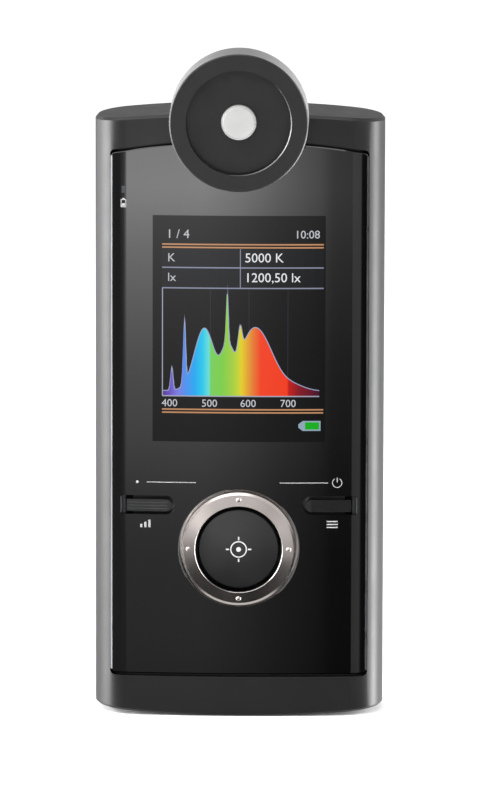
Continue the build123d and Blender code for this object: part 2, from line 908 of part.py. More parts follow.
# Coin cell that keeps the clock going
with BuildPart() as clock_cell:
    with BuildSketch(facing(board_rear - coin_depth)):
        with Locations((chip_pitch, box_high + board_gap + coin_radius)):
            Circle(coin_radius)
    extrude(amount=coin_depth)

# Buzzer on the front of the circuit board
with BuildPart() as buzzer:
    with BuildSketch(facing(board_front)):
        buzzer_across = boss_across - case_boss_radius - buzzer_gap - buzzer_size / 2
        with Locations((-buzzer_across, board_foot + buzzer_size)):
            Rectangle(buzzer_size, buzzer_size)
            Circle(buzzer_bore, mode=Mode.SUBTRACT)
    extrude(amount=buzzer_depth)

# Charge light and its light pipe
with BuildPart() as charge_led:
    with BuildSketch(facing(board_front)):
        with Locations(led_place):
            Rectangle(led_size, led_size)
    extrude(amount=led_depth)

with BuildPart() as light_pipe:
    pipe_front = cavity_front + pipe_flange
    with BuildSketch(facing(board_front + led_depth)):
        with Locations(led_place):
            Circle(pipe_radius)
    extrude(amount=pipe_front - board_front - led_depth)
    with BuildSketch(facing(board_front + led_depth)):
        with Locations(led_place):
            Circle(pipe_radius + pipe_flange)
    extrude(amount=pipe_flange)

# Charging socket: a folded sheet shell round a contact tongue
with BuildPart() as usb_socket:
    with BuildSketch(facing(board_front)):
        with Locations((flap_middle, usb_foot + usb_height / 2)):
            Rectangle(usb_width, usb_height)
    extrude(amount=usb_depth)
    with BuildSketch(Plane.XY.offset(usb_foot)) as mouth:
        with Locations((flap_middle, -board_front - usb_depth / 2)):
            Rectangle(usb_width - 2 * usb_sheet, usb_depth - 2 * usb_sheet)
            Rectangle(usb_width - 4 * usb_sheet, usb_tongue, mode=Mode.SUBTRACT)
    extrude(amount=usb_height - usb_sheet, mode=Mode.SUBTRACT)

# Memory card socket on the back of the circuit board
with BuildPart() as card_socket:
    with BuildSketch(facing(board_rear - card_depth)):
        with Locations((flap_middle, card_foot + card_height / 2)):
            Rectangle(card_width, card_height)
    extrude(amount=card_depth)
    with BuildSketch(Plane.XY.offset(card_foot)):
        with Locations((flap_middle, -board_rear + card_depth / 2)):
            Rectangle(card_width - 2 * card_edge, card_slot_depth)
    extrude(amount=card_height - card_depth, mode=Mode.SUBTRACT)

# Rubber flap over both sockets
with BuildPart() as port_flap:
    with BuildSketch(Plane.XY.offset(-overrun)):
        with Locations((flap_middle, (flap_rear - flap_front) / 2)):
            Rectangle(flap_width, flap_front + flap_rear)
    extrude(amount=flap_inner - flap_gap + overrun)
    add(casing_form.part, mode=Mode.INTERSECT)

# Battery
battery_rear = -cavity_rear + pocket_clearance
with BuildPart() as battery:
    with BuildSketch(facing(battery_rear)):
        with Locations((0, battery_foot + battery_height / 2)):
            Rectangle(battery_width, battery_height)
    extrude(amount=battery_depth)
    fillet(battery.edges().filter_by(Axis.Z), radius=battery_edge)

# Spring contacts that meet the battery's upper end
with BuildPart() as battery_contacts:
    contact_foot = pocket_top - contact_height
    contact_rear = -box_front - box_floor - battery_depth / 2
    with BuildSketch(facing(contact_rear)):
        with Locations((0, contact_foot + contact_height / 2)):
            Rectangle(contact_width, contact_height)
    extrude(amount=board_rear - contact_rear)
    with BuildSketch(facing(contact_rear)):
        with Locations((0, contact_foot - blade_bite / 2)):
            with GridLocations(blade_pitch, blade_bite, 3, 1):
                Rectangle(blade_width, blade_bite)
    extrude(amount=battery_depth / 4)

# Battery door: a plate that follows the back's curve, with hooks at its lower edge
with BuildPart() as battery_door:
    with BuildSketch(Plane.XZ) as door_plan:
        with Locations((0, (door_foot + door_top) / 2)):
            Rectangle(door_width, door_top - door_foot)
    extrude(amount=-(skin + overrun))
    add(skin_layer(0, door_thickness), mode=Mode.INTERSECT)
    hook_face = -skin + door_thickness + face_bow / 4
    with BuildSketch(facing(hook_face - door_thickness / 2)):
        stem_middle = door_foot + hook_height / 2
        with Locations((-hook_across, stem_middle), (hook_across, stem_middle)):
            Rectangle(hook_width, hook_height)
    extrude(amount=door_thickness / 2 + hook_depth)
    with BuildSketch(facing(hook_face + door_gap)):
        toe_middle = door_foot - hook_reach / 2
        with Locations((-hook_across, toe_middle), (hook_across, toe_middle)):
            Rectangle(hook_width, hook_reach)
    extrude(amount=hook_depth - door_gap)
    with BuildSketch(facing(-skin + grip_depth)):
        with Locations((0, door_top - (grip_count + 1) * grip_pitch)):
            with GridLocations(grip_width, grip_pitch, 1, grip_count):
                Rectangle(grip_width, grip_pitch / 2)
    extrude(amount=-overrun, mode=Mode.SUBTRACT)

# Casing screws
with BuildPart() as case_screws:
    head_plane = -skin + case_screw_sink + case_screw_head_height
    with BuildSketch(facing(head_plane - case_screw_head_height)):
        with Locations(*case_boss_places()):
            Circle(case_screw_head_radius)
    extrude(amount=case_screw_head_height)
    with BuildSketch(facing(head_plane)):
        with Locations(*case_boss_places()):
            RegularPolygon(case_screw_radius, 6)
    extrude(amount=case_screw_length)

# Tripod thread insert
with BuildPart() as tripod_insert:
    add(insert_form())
    with BuildSketch(Plane.XY):
        Circle(thread_radius)
    extrude(amount=insert_length, mode=Mode.SUBTRACT)

# Sensor head: front cap
head_place = (0, head_up)
with BuildPart() as head_cap:
    with BuildSketch(facing(head_seam)):
        with Locations(head_place):
            Circle(head_radius)
    extrude(amount=head_front - head_seam)
    chamfer(head_cap.faces().sort_by(Axis.Y)[0].edges(), length=head_edge)
    with BuildSketch(facing(recess_face)):
        with Locations(head_place):
            Circle(recess_radius)
    extrude(amount=recess_depth, mode=Mode.SUBTRACT)
    with BuildSketch(facing(head_seam)):
        with Locations(head_place):
            Circle(head_radius - head_wall)
    extrude(amount=head_inner_front - head_seam, mode=Mode.SUBTRACT)
    with BuildSketch(facing(head_inner_rear)):
        with Locations(*head_screw_places()):
            Circle(head_boss_radius)
            Circle(head_screw_radius, mode=Mode.SUBTRACT)
    extrude(amount=head_inner_front - head_inner_rear)
    with BuildSketch(facing(head_inner_front)):
        with Locations(head_place):
            Circle(diffuser_radius + seat_clearance)
    extrude(amount=recess_floor, mode=Mode.SUBTRACT)

# Sensor head: rear shell with its neck and hub
with BuildPart() as head_shell:
    with BuildSketch(facing(head_rear)):
        with Locations(head_place):
            Circle(head_radius)
    extrude(amount=head_shell_depth)
    chamfer(head_shell.faces().sort_by(Axis.Y)[-1].edges(), length=head_back_edge)
    neck_low = pivot_up + neck_rise
    neck_high = pivot_up + hub_radius
    with BuildSketch(Plane.YZ):
        with Locations((-(head_rear + head_back_edge) / 2, (neck_low + neck_high) / 2)):
            Rectangle(head_rear + head_back_edge, neck_high - neck_low)
    extrude(amount=neck_half, both=True)
    with BuildSketch(Plane.YZ):
        with Locations((0, pivot_up)):
            Circle(hub_radius)
    extrude(amount=hub_half, both=True)
    with BuildSketch(facing(head_inner_rear)):
        with Locations(head_place):
            Circle(head_radius - head_wall)
    extrude(amount=head_shell_depth, mode=Mode.SUBTRACT)
    with BuildSketch(Plane.YZ):
        with Locations((0, pivot_up)):
            Circle(bush_outer)
    extrude(amount=hub_half, both=True, mode=Mode.SUBTRACT)
    with BuildSketch(Plane.XZ):
        with Locations((0, pivot_up + (channel_low + channel_high) / 2)):
            Rectangle(2 * channel_half, channel_high - channel_low)
    extrude(amount=head_inner_rear, mode=Mode.SUBTRACT)
    with BuildSketch(facing(head_rear)):
        with Locations(*head_screw_places()):
            Circle(head_screw_radius)
    extrude(amount=head_floor, mode=Mode.SUBTRACT)
    with BuildSketch(facing(head_rear)):
        with Locations(*head_screw_places()):
            Circle(head_screw_head_radius)
    extrude(amount=head_screw_head_height, mode=Mode.SUBTRACT)

# Diffuser
with BuildPart() as diffuser:
    diffuser_front = recess_face + diffuser_stand
    with BuildSketch(facing(head_inner_front)):
        with Locations(head_place):
            Circle(diffuser_radius)
    extrude(amount=diffuser_front - head_inner_front)
    chamfer(diffuser.faces().sort_by(Axis.Y)[0].edges(), length=diffuser_bevel)
    flange_plane = head_inner_front - diffuser_flange_thickness
    with BuildSketch(facing(flange_plane)):
        with Locations(head_place):
            Circle(diffuser_radius + diffuser_flange)
    extrude(amount=diffuser_flange_thickness)

# Holder that clamps the diffuser and stops stray light
holder_back = flange_plane - light_holder_web
with BuildPart() as light_holder:
    with BuildSketch(facing(holder_back)):
        with Locations(head_place):
            holder_width = 2 * (diffuser_radius + diffuser_flange + light_holder_wall)
            Rectangle(holder_width, holder_width)
    extrude(amount=head_inner_front - holder_back)
    with BuildSketch(facing(flange_plane)):
        with Locations(head_place):
            Circle(diffuser_radius + diffuser_flange + seat_clearance)
    extrude(amount=diffuser_flange_thickness, mode=Mode.SUBTRACT)
    with BuildSketch(facing(holder_back)):
        with Locations(head_place):
            Circle(light_stop_radius)
    extrude(amount=light_holder_web, mode=Mode.SUBTRACT)
    with BuildSketch(facing(holder_back)):
        with Locations(head_place):
            Rectangle(filter_size, filter_size)
    extrude(amount=filter_thickness, mode=Mode.SUBTRACT)

# Heat filter in the holder's rear seat
with BuildPart() as optical_filter:
    with BuildSketch(facing(holder_back)):
        with Locations(head_place):
            Rectangle(filter_size, filter_size)
    extrude(amount=filter_thickness)

# Sensor board and spectrometer module
with BuildPart() as head_board:
    with BuildSketch(facing(head_inner_rear)):
        with Locations(head_place):
            board_rise = head_screw_places()[-1][1] - head_up - head_boss_radius - head_board_gap
            board_reach = math.sqrt((head_radius - head_wall - head_board_gap) ** 2 - board_rise**2)
            Rectangle(2 * board_reach, 2 * board_rise)
        with Locations((0, pivot_up + (channel_low + channel_high) / 2)):
            Rectangle(2 * channel_half, channel_high - channel_low, mode=Mode.SUBTRACT)
    extrude(amount=head_board_thickness)

with BuildPart() as spectrometer:
    sensor_rear = head_inner_rear + head_board_thickness
    sensor_middle = head_up + (channel_high - channel_low) / 2
    with BuildSketch(facing(sensor_rear)):
        with Locations((0, sensor_middle)):
            Rectangle(sensor_width, sensor_height)
    extrude(amount=holder_back - sensor_rear)
    with BuildSketch(facing(holder_back - light_stop_radius)):
        with Locations(head_place):
            Circle(light_stop_radius / 2)
    extrude(amount=light_stop_radius, mode=Mode.SUBTRACT)

# Head screws
with BuildPart() as head_screws:
    with BuildSketch(facing(head_rear + head_screw_head_height)):
        with Locations(*head_screw_places()):
            RegularPolygon(head_screw_radius, 6)
    extrude(amount=head_screw_length)
    with BuildSketch(facing(head_rear)):
        with Locations(*head_screw_places()):
            Circle(head_screw_head_radius)
    extrude(amount=head_screw_head_height)


def axle_part(side, bore):
    """A hinge axle that the two casing halves clamp in a shoulder; one is hollow for the cable."""
    flange_end = notch_half + cheek_wall + axle_flange_thickness
    axle_end = hub_half - bush_length
    with BuildPart() as axle:
        with BuildSketch(Plane.YZ.offset(side * axle_end)):
            with Locations((0, pivot_up)):
                Circle(axle_radius)
        extrude(amount=side * (flange_end - axle_end))
        with BuildSketch(Plane.YZ.offset(side * (notch_half + cheek_wall))):
            with Locations((0, pivot_up)):
                Circle(axle_flange_radius)
        extrude(amount=side * axle_flange_thickness)
        if bore:
            with BuildSketch(Plane.YZ.offset(side * axle_end)):
                with Locations((0, pivot_up)):
                    Circle(bore)
            extrude(amount=side * (flange_end - axle_end), mode=Mode.SUBTRACT)
    return axle


def bush_part(side):
    """A plain bush pressed into one end of the head's hub."""
    with BuildPart() as bush:
        with BuildSketch(Plane.YZ.offset(side * (hub_half - bush_length))):
            with Locations((0, pivot_up)):
                Circle(bush_outer)
                Circle(bore_step, mode=Mode.SUBTRACT)
        extrude(amount=side * bush_length)
    return bush


hinge_axle_left = axle_part(-1, axle_bore)
hinge_axle_right = axle_part(1, 0)
hinge_bush_left = bush_part(-1)
hinge_bush_right = bush_part(1)

# Spring washer that holds the head where it is put
with BuildPart() as friction_washer:
    with BuildSketch(Plane.YZ.offset(notch_half)):
        with Locations((0, pivot_up)):
            Circle(washer_outer)
            Circle(bore_step, mode=Mode.SUBTRACT)
    extrude(amount=-washer_thickness)

# Cable from the head's board through the hollow axle
lead_across = notch_half + cheek_wall + axle_flange_thickness + lead_room
with BuildPart() as head_cable:
    bend = pivot_up + (channel_low + channel_high) / 2
    rise = bend - pivot_up
    turn = channel_half / 2
    route = [
        (-lead_across + lead_radius + door_gap, 0, pivot_up),
        (-turn, 0, pivot_up),
        (-turn, -rise, bend),
        (-turn, -head_inner_rear - head_board_thickness / 2, bend),
    ]
    with BuildLine() as cable_line:
        FilletPolyline(*route, radius=rise / 2)
    with BuildSketch(Plane(origin=route[0], z_dir=(1, 0, 0))):
        RegularPolygon(cable_radius, 6)
    sweep(path=cable_line.wires()[0])

# Lead that carries on from the axle down to the main board
with BuildPart() as head_lead:
    lead_end = board_top + ear_rise - lead_radius
    with BuildSketch(Plane.XY.offset(lead_end)):
        with Locations((-lead_across, 0)):
            RegularPolygon(lead_radius, 6)
    extrude(amount=pivot_up + lead_radius - lead_end)

pieces = {
    "front_frame": front_frame,
    "rear_cover": rear_cover,
    "window": window,
    "window_tape": window_tape,
    "display_module": display_module,
    "display_gasket": display_gasket,
    "display_holder": display_holder,
    "display_flex": display_flex,
    "main_board": main_board,
    "board_screws": board_screws,
    "key_switches": key_switches,
    "key_mat": key_mat,
    "data_button": data_button,
    "menu_button": menu_button,
    "nav_ring": nav_ring,
    "ring_rocker": ring_rocker,
    "measure_button": measure_button,
    "board_chips": board_chips,
    "shield_can": shield_can,
    "clock_cell": clock_cell,
    "buzzer": buzzer,
    "charge_led": charge_led,
    "light_pipe": light_pipe,
    "usb_socket": usb_socket,
    "card_socket": card_socket,
    "port_flap": port_flap,
    "battery": battery,
    "battery_contacts": battery_contacts,
    "battery_door": battery_door,
    "case_screws": case_screws,
    "tripod_insert": tripod_insert,
    "head_cap": head_cap,
    "head_shell": head_shell,
    "diffuser": diffuser,
    "light_holder": light_holder,
    "optical_filter": optical_filter,
    "head_board": head_board,
    "spectrometer": spectrometer,
    "head_screws": head_screws,
    "hinge_axle_left": hinge_axle_left,
    "hinge_axle_right": hinge_axle_right,
    "hinge_bush_left": hinge_bush_left,
    "hinge_bush_right": hinge_bush_right,
    "friction_washer": friction_washer,
    "head_cable": head_cable,
    "head_lead": head_lead,
}

os.makedirs("parts", exist_ok=True)
for label, piece in pieces.items():
    piece.part.label = label
    export_step(piece.part, f"parts/{label}.step")
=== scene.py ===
"""Looks of a handheld spectral light meter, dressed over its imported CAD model.

Every length is in millimetres and is turned to metres where it is used, apart from the
studio's. The meter stands upright: +Z runs up its length, its display faces -Y and +X is to
the reader's right.
"""
import json
import logging
import math
from dataclasses import dataclass
from enum import Enum
from typing import Callable, Sequence

import bmesh
import bpy
from mathutils import Matrix, Vector


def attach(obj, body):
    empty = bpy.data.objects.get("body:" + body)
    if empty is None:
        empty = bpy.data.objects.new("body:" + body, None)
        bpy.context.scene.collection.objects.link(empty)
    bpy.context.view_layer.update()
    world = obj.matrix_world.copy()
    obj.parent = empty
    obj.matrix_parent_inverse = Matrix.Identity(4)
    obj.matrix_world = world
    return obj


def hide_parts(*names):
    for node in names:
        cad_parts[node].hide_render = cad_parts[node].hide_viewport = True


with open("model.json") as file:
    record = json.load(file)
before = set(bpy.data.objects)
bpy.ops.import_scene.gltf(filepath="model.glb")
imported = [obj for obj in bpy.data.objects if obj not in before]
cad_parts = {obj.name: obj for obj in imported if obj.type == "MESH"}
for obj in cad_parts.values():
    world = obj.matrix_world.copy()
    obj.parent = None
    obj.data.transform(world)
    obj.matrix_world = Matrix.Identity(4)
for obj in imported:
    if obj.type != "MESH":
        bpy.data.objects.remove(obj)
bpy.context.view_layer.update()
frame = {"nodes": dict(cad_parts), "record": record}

log = logging.getLogger("light_meter")

MM = 0.001
BLACK = (0.0, 0.0, 0.0, 1.0)
# The span in which a noise mostly stays
NOISE_SPAN = (0.3, 0.7)
# The first wavelength of the drawn spectrum and how far it reaches, in nanometres
FIRST_WAVE = 380
WAVE_SPAN = 400
# The left and right end of the drawn spectrum
PLOT_LEFT = -15.9
PLOT_RIGHT = 16.6
# The heights of the ring's and the head's middle
RING_CENTRE = 35.65
HEAD_CENTRE = 126.7

Point = tuple[float, float]
Place = tuple[float, float, float]
Socket = bpy.types.NodeSocket
Mesh = bpy.types.Mesh
Builder = bmesh.types.BMesh
Row = list[bmesh.types.BMVert]
Stops = Sequence[Sequence[float]]
# A rule from angle, radius and height along an axis to a place in metres
Axis = Callable[[float, float, float], Vector]


class Layer(Enum):
    """How far a printed or lit mark stands out from the window's skin."""

    PANE = 0.012
    GRID = 0.018
    FILL = 0.024
    MARK = 0.030


def linear(colour: str) -> tuple[float, ...]:
    """Turns an sRGB hex colour to the linear values that Blender's sockets take.

    Args:
        colour: the colour as "#rrggbb".

    Returns:
        Red, green, blue and an alpha of 1.
    """
    channels = [int(colour[i:i + 2], 16) / 255 for i in (1, 3, 5)]
    return *(c / 12.92 if c <= 0.04045 else ((c + 0.055) / 1.055) ** 2.4 for c in channels), 1.0


def new_object(name: str, data: bpy.types.ID) -> bpy.types.Object:
    """Makes an object of a mesh, text, lamp or camera and puts it in the scene."""
    made = bpy.data.objects.new(name, data)
    bpy.context.scene.collection.objects.link(made)
    return made


def final_mesh(source: bpy.types.Object) -> Mesh:
    """Gives an object's mesh with its text or its modifiers made real."""
    bpy.context.view_layer.update()
    return bpy.data.meshes.new_from_object(source.evaluated_get(bpy.context.evaluated_depsgraph_get()))


def bridge(builder: Builder, rows: Sequence[Row], closed: bool = False, flip: bool = False) -> None:
    """Adds strips of faces between rows of points.

    Args:
        builder: the bmesh that takes them.
        rows: the rows in order, all of one length.
        closed: whether the last point of a row is joined to its first.
        flip: whether the faces look the other way.
    """
    for near, far in zip(rows, rows[1:]):
        for i in range(len(near) if closed else len(near) - 1):
            j = (i + 1) % len(near)
            builder.faces.new((near[i], far[i], far[j], near[j]) if flip else (near[i], near[j], far[j], far[i]))


def circle(count: int) -> list[Point]:
    """Gives the points of a circle of radius 1, against the clock from the right."""
    return [(math.cos(math.tau * i / count), math.sin(math.tau * i / count)) for i in range(count)]


class Nodes:
    """Adds nodes to a tree, with their settings, values and links."""

    def __init__(self, tree: bpy.types.NodeTree) -> None:
        """Takes the tree."""
        self.tree = tree

    def feed(self, node: bpy.types.Node, inputs: dict) -> bpy.types.Node:
        """Gives a node's inputs a value or a link each, by name or number."""
        for name, value in inputs.items():
            if isinstance(value, Socket):
                self.tree.links.new(value, node.inputs[name])
            else:
                node.inputs[name].default_value = value
        return node

    def add(self, kind: str, inputs: dict | None = None, **settings) -> bpy.types.Node:
        """Adds a node.

        Args:
            kind: Blender's name of the node type.
            inputs: a value or an output socket for each input, by name or number.
            settings: the node's own properties.

        Returns:
            The new node.
        """
        made = self.tree.nodes.new(kind)
        for name, value in settings.items():
            setattr(made, name, value)
        return self.feed(made, inputs or {})

    def math(self, operation: str, *values: Socket | float) -> Socket:
        """Adds a calculation with numbers or sockets and gives its result."""
        return self.add("ShaderNodeMath", dict(enumerate(values)), operation=operation).outputs["Value"]

    def spread(self, value: Socket, low: float, high: float, near: float = 0.0, far: float = 1.0) -> Socket:
        """Adds a range that turns near to low and far to high."""
        given = {"Value": value, "From Min": near, "From Max": far, "To Min": low, "To Max": high}
        return self.add("ShaderNodeMapRange", given).outputs["Result"]

    def ramp(self, share: Socket, stops: Sequence[tuple[float, Sequence[float]]]) -> Socket:
        """Adds a colour ramp.

        Args:
            share: where to read it, from 0 to 1.
            stops: the place and the four channels of each stop, in order.

        Returns:
            The colour.
        """
        ramp = self.add("ShaderNodeValToRGB", {"Fac": share})
        elements = ramp.color_ramp.elements
        for count, (spot, channels) in enumerate(stops):
            stop = elements[count] if count < 2 else elements.new(spot)
            stop.position = spot
            stop.color = channels
        return ramp.outputs["Color"]


class Skin(Nodes):
    """The nodes of a material: its shader and the place in the object's own coordinates."""

    def __init__(self, name: str) -> None:
        """Makes the material."""
        self.material = bpy.data.materials.new(name)
        self.material.use_nodes = True
        super().__init__(self.material.node_tree)
        self.place = self.add("ShaderNodeTexCoord").outputs["Object"]

    def dress(self, inputs: dict) -> None:
        """Gives the shader's inputs a value or a link each."""
        self.feed(self.tree.nodes["Principled BSDF"], inputs)

    def noise(self, size: float, detail: float, rough: float = 0.5, place: Socket | None = None) -> Socket:
        """Adds a noise of a size, read at the object's own place if no other is given."""
        spot = self.place if place is None else place
        given = {"Vector": spot, "Scale": 1 / (size * MM), "Detail": detail, "Roughness": rough}
        return self.add("ShaderNodeTexNoise", given).outputs["Fac"]

    def bump(self, height: Socket, rise: float, strength: float = 1.0) -> None:
        """Feeds the shader's normal from a height."""
        given = {"Height": height, "Distance": rise * MM, "Strength": strength}
        self.dress({"Normal": self.add("ShaderNodeBump", given).outputs["Normal"]})

    def mix(self, share: Socket, first: Socket | Sequence[float], second: Socket | Sequence[float]) -> Socket:
        """Adds a mix of two colours."""
        return self.add("ShaderNodeMix", {0: share, 6: first, 7: second}, data_type="RGBA").outputs[2]

    def along(self, axis: str) -> Socket:
        """Adds the place along one axis, in metres."""
        return self.add("ShaderNodeSeparateXYZ", {"Vector": self.place}).outputs[axis]

    def radius(self, centre: Place) -> Socket:
        """Adds nodes that measure how far the place is from an axis from front to back.

        Args:
            centre: a point of the axis.

        Returns:
            The radius in metres.
        """
        centred = self.add("ShaderNodeMapping", {"Vector": self.place, "Location": [-c * MM for c in centre]})
        given = {0: centred.outputs["Vector"], 1: (1.0, 0.0, 1.0)}
        flat = self.add("ShaderNodeVectorMath", given, operation="MULTIPLY").outputs["Vector"]
        return self.add("ShaderNodeVectorMath", {0: flat}, operation="LENGTH").outputs["Value"]

    def beyond(self, centre: Place, radius: float) -> Socket:
        """Adds nodes that give 1 outside a radius round such an axis, and 0 inside."""
        return self.math("GREATER_THAN", self.radius(centre), radius * MM)


@dataclass(frozen=True)
class Finish:
    """A moulded or plain finish: a colour that varies a little over a fine surface grain.

    Grain and patch are the sizes of the fine and the soft unevenness, rise is the grain's
    height, and uneven and shade are the shares by which roughness and colour vary.
    """

    name: str
    colour: str
    roughness: float
    metallic: float = 0.0
    grain: float = 0.4
    rise: float = 0.01
    uneven: float = 0.12
    shade: float = 0.08
    patch: float = 9.0
    sheen: float = 0.0
    gloss: float = 0.5

    def build(self) -> bpy.types.Material:
        """Makes the material, or gives back the one made before."""
        known = bpy.data.materials.get(self.name)
        if known:
            return known
        skin = Skin(self.name)
        skin.dress({"Metallic": self.metallic, "Sheen Weight": self.sheen, "Specular IOR Level": self.gloss})
        self.colour_nodes(skin)
        self.rough_nodes(skin)
        self.relief_nodes(skin)
        return skin.material

    def tint(self, skin: Skin, detail: float = 3.0, span: Point = NOISE_SPAN) -> Socket:
        """Adds the colour, lighter and darker in soft patches."""
        share = skin.spread(skin.noise(self.patch, detail), 1 - self.shade, 1 + self.shade, *span)
        given = {"Value": share, "Color": linear(self.colour)}
        return skin.add("ShaderNodeHueSaturation", given).outputs["Color"]

    def colour_nodes(self, skin: Skin) -> None:
        """Feeds the base colour."""
        skin.dress({"Base Color": self.tint(skin)})

    def rough_nodes(self, skin: Skin) -> None:
        """Feeds the roughness, uneven where hands and mould have left the surface unlike."""
        low = self.roughness * (1 - self.uneven)
        high = self.roughness * (1 + self.uneven)
        skin.dress({"Roughness": skin.spread(skin.noise(self.patch / 2, 5.0), low, high, *NOISE_SPAN)})

    def relief_nodes(self, skin: Skin) -> None:
        """Feeds the normal with the fine grain of the surface."""
        skin.bump(skin.noise(self.grain, 2.0, 0.6), self.rise)


@dataclass(frozen=True)
class Brushed(Finish):
    """A metal drawn or turned along one axis, with fine streaks of a width and a length."""

    metallic: float = 1.0
    streak: Point = (0.15, 6.0)
    axis: str = "Z"

    def relief_nodes(self, skin: Skin) -> None:
        """Feeds the normal with streaks that run along one axis."""
        fine, long = (1 / (size * MM) for size in self.streak)
        scale = [long if axis == self.axis else fine for axis in "XYZ"]
        stretched = skin.add("ShaderNodeMapping", {"Vector": skin.place, "Scale": scale}).outputs["Vector"]
        # the place is already scaled, so the noise has the size of a metre
        skin.bump(skin.noise(1 / MM, 3.0, place=stretched), self.rise, 0.6)


@dataclass(frozen=True)
class Turned(Finish):
    """A metal turned on a lathe and blasted, with faint rings round its own axis."""

    metallic: float = 1.0
    centre: Place = (0.0, 0.0, 0.0)
    ring: float = 0.35

    def relief_nodes(self, skin: Skin) -> None:
        """Feeds the normal with turning rings and a fine blasted grain."""
        rings = skin.math("SINE", skin.math("MULTIPLY", skin.radius(self.centre), math.tau / (self.ring * MM)))
        ring_share = 0.12
        skin.bump(skin.math("MULTIPLY_ADD", rings, ring_share, skin.noise(self.grain, 2.0)), self.rise, 0.5)


@dataclass(frozen=True)
class Plated(Turned):
    """A turned metal plated on its outside; inside a radius it is painted black, as painted shade in the bore round
    the button.
    """

    painted_shade_radius: float = 9.1
    painted_shade_colour: str = "#0a0a0b"

    def colour_nodes(self, skin: Skin) -> None:
        """Feeds the plating's colour and gloss outside the radius, and black as painted shade inside it."""
        # painted shade: black in the bore, where the ring meets the button
        outside = skin.beyond(self.centre, self.painted_shade_radius)
        colour = skin.mix(outside, linear(self.painted_shade_colour), self.tint(skin))
        skin.dress({"Base Color": colour, "Metallic": outside})


@dataclass(frozen=True)
class PaintedHighlightDrum(Finish):
    """A drum whose round outside, beyond a radius and before a depth, is painted paler than its faces: a painted
    highlight for the top light that its round side catches.
    """

    centre: Place = (0.0, 0.0, 0.0)
    band: float = 14.285
    painted_highlight_colour: str = "#6a6a6b"
    rear: float = -9.95

    def colour_nodes(self, skin: Skin) -> None:
        """Feeds the base colour, with the painted highlight on the round outside."""
        # the painted highlight: beyond the band's radius and in front of the rear face
        before = skin.math("LESS_THAN", skin.along("Y"), self.rear * MM)
        band = skin.math("MULTIPLY", skin.beyond(self.centre, self.band), before)
        skin.dress({"Base Color": skin.mix(band, self.tint(skin), linear(self.painted_highlight_colour))})


@dataclass(frozen=True)
class Clear(Finish):
    """A glass or clear plastic that lets light through."""

    ior: float = 1.49

    def rough_nodes(self, skin: Skin) -> None:
        """Sets the light that passes, besides the uneven gloss."""
        super().rough_nodes(skin)
        skin.dress({"Transmission Weight": 1.0, "IOR": self.ior})


@dataclass(frozen=True)
class Opal(Finish):
    """A milky plastic that scatters light below its surface, to a depth."""

    depth: float = 1.2

    def rough_nodes(self, skin: Skin) -> None:
        """Sets the scatter, besides the uneven gloss."""
        super().rough_nodes(skin)
        skin.dress({"Subsurface Weight": 0.6, "Subsurface Radius": (1.0, 0.95, 0.9)})
        skin.dress({"Subsurface Scale": self.depth * MM})


@dataclass(frozen=True)
class Laminate(Finish):
    """A printed circuit: tracks under solder mask, drawn wider apart than real ones to show."""

    track: float = 1.6
    track_colour: str = "#3f8a50"

    def colour_nodes(self, skin: Skin) -> None:
        """Feeds the base colour with paler tracks over the board's mask."""
        flat = skin.add("ShaderNodeMapping", {"Vector": skin.place, "Scale": (1.0, 0.0, 1.0)}).outputs["Vector"]
        given = {"Vector": flat, "Scale": 1 / (self.track * 2 * MM)}
        cells = skin.add("ShaderNodeTexVoronoi", given, feature="DISTANCE_TO_EDGE").outputs["Distance"]
        edge = skin.spread(cells, 1.0, 0.0, 0.04, 0.08)
        skin.dress({"Base Color": skin.mix(edge, linear(self.colour), linear(self.track_colour))})


@dataclass(frozen=True)
class Lit(Finish):
    """A part of the display's picture, lit from behind through a black base."""

    roughness: float = 0.1
    rise: float = 0.0005
    gloss: float = 0.14

    def colour_nodes(self, skin: Skin) -> None:
        """Sets the glow over the black base."""
        skin.dress({"Base Color": BLACK, "Emission Color": self.glow(skin), "Emission Strength": 1.0})

    def glow(self, skin: Skin) -> Socket:
        """Adds the light's colour; the backlight is a little uneven."""
        return self.tint(skin, 1.0, (0.0, 1.0))


@dataclass(frozen=True)
class SpectrumLight(Lit):
    """The filled spectrum on the display, coloured by the place of each wavelength."""

    left: float = PLOT_LEFT
    right: float = PLOT_RIGHT

    def glow(self, skin: Skin) -> Socket:
        """Adds a colour from violet on the left to deep red on the right."""
        wavelengths = {
            380: "#4a3480", 400: "#6a50c4", 418: "#7a78dc", 440: "#4a90ec", 462: "#1ca6f0",
            483: "#22c6e8", 499: "#66dcd6", 503: "#76cc5c", 532: "#7ccc48", 557: "#a0cc40",
            577: "#cad22e", 581: "#e4cc20", 597: "#e0a22e", 612: "#e47630", 630: "#f04222",
            698: "#f03c1c", 702: "#c01a12", 728: "#841222", 780: "#3c1028",
        }
        share = skin.spread(skin.along("X"), 0.0, 1.0, self.left * MM, self.right * MM)
        return skin.ramp(share, [((w - FIRST_WAVE) / WAVE_SPAN, linear(c)) for w, c in wavelengths.items()])


@dataclass(frozen=True)
class Casing:
    """The curve of the casing's front, which marks and lit pieces follow."""

    half_width: float = 30.0
    crown: float = 9.2
    bow: float = 1.6
    corner: float = 7.2

    def depth(self, x: float) -> float:
        """How far the skin stands in front of the mid-plane at a place across the meter.

        Args:
            x: the place, from the middle.

        Returns:
            The depth.
        """
        bend = (self.half_width ** 2 + self.bow ** 2) / (2 * self.bow)
        side = self.half_width - self.corner
        inner = bend - self.corner
        if abs(x) <= side * bend / inner:
            return self.crown - bend + math.sqrt(bend ** 2 - x ** 2)
        middle = self.crown - bend + math.sqrt(inner ** 2 - side ** 2)
        return middle + math.sqrt(max(self.corner ** 2 - (abs(x) - side) ** 2, 0.0))


CASE = Casing()


def on_skin(layer: Layer) -> Callable[[float, float], Vector]:
    """Gives a rule that lays a point of a flat drawing on the casing's skin, in metres."""
    return lambda x, z: Vector((x, -CASE.depth(x) - layer.value, z)) * MM


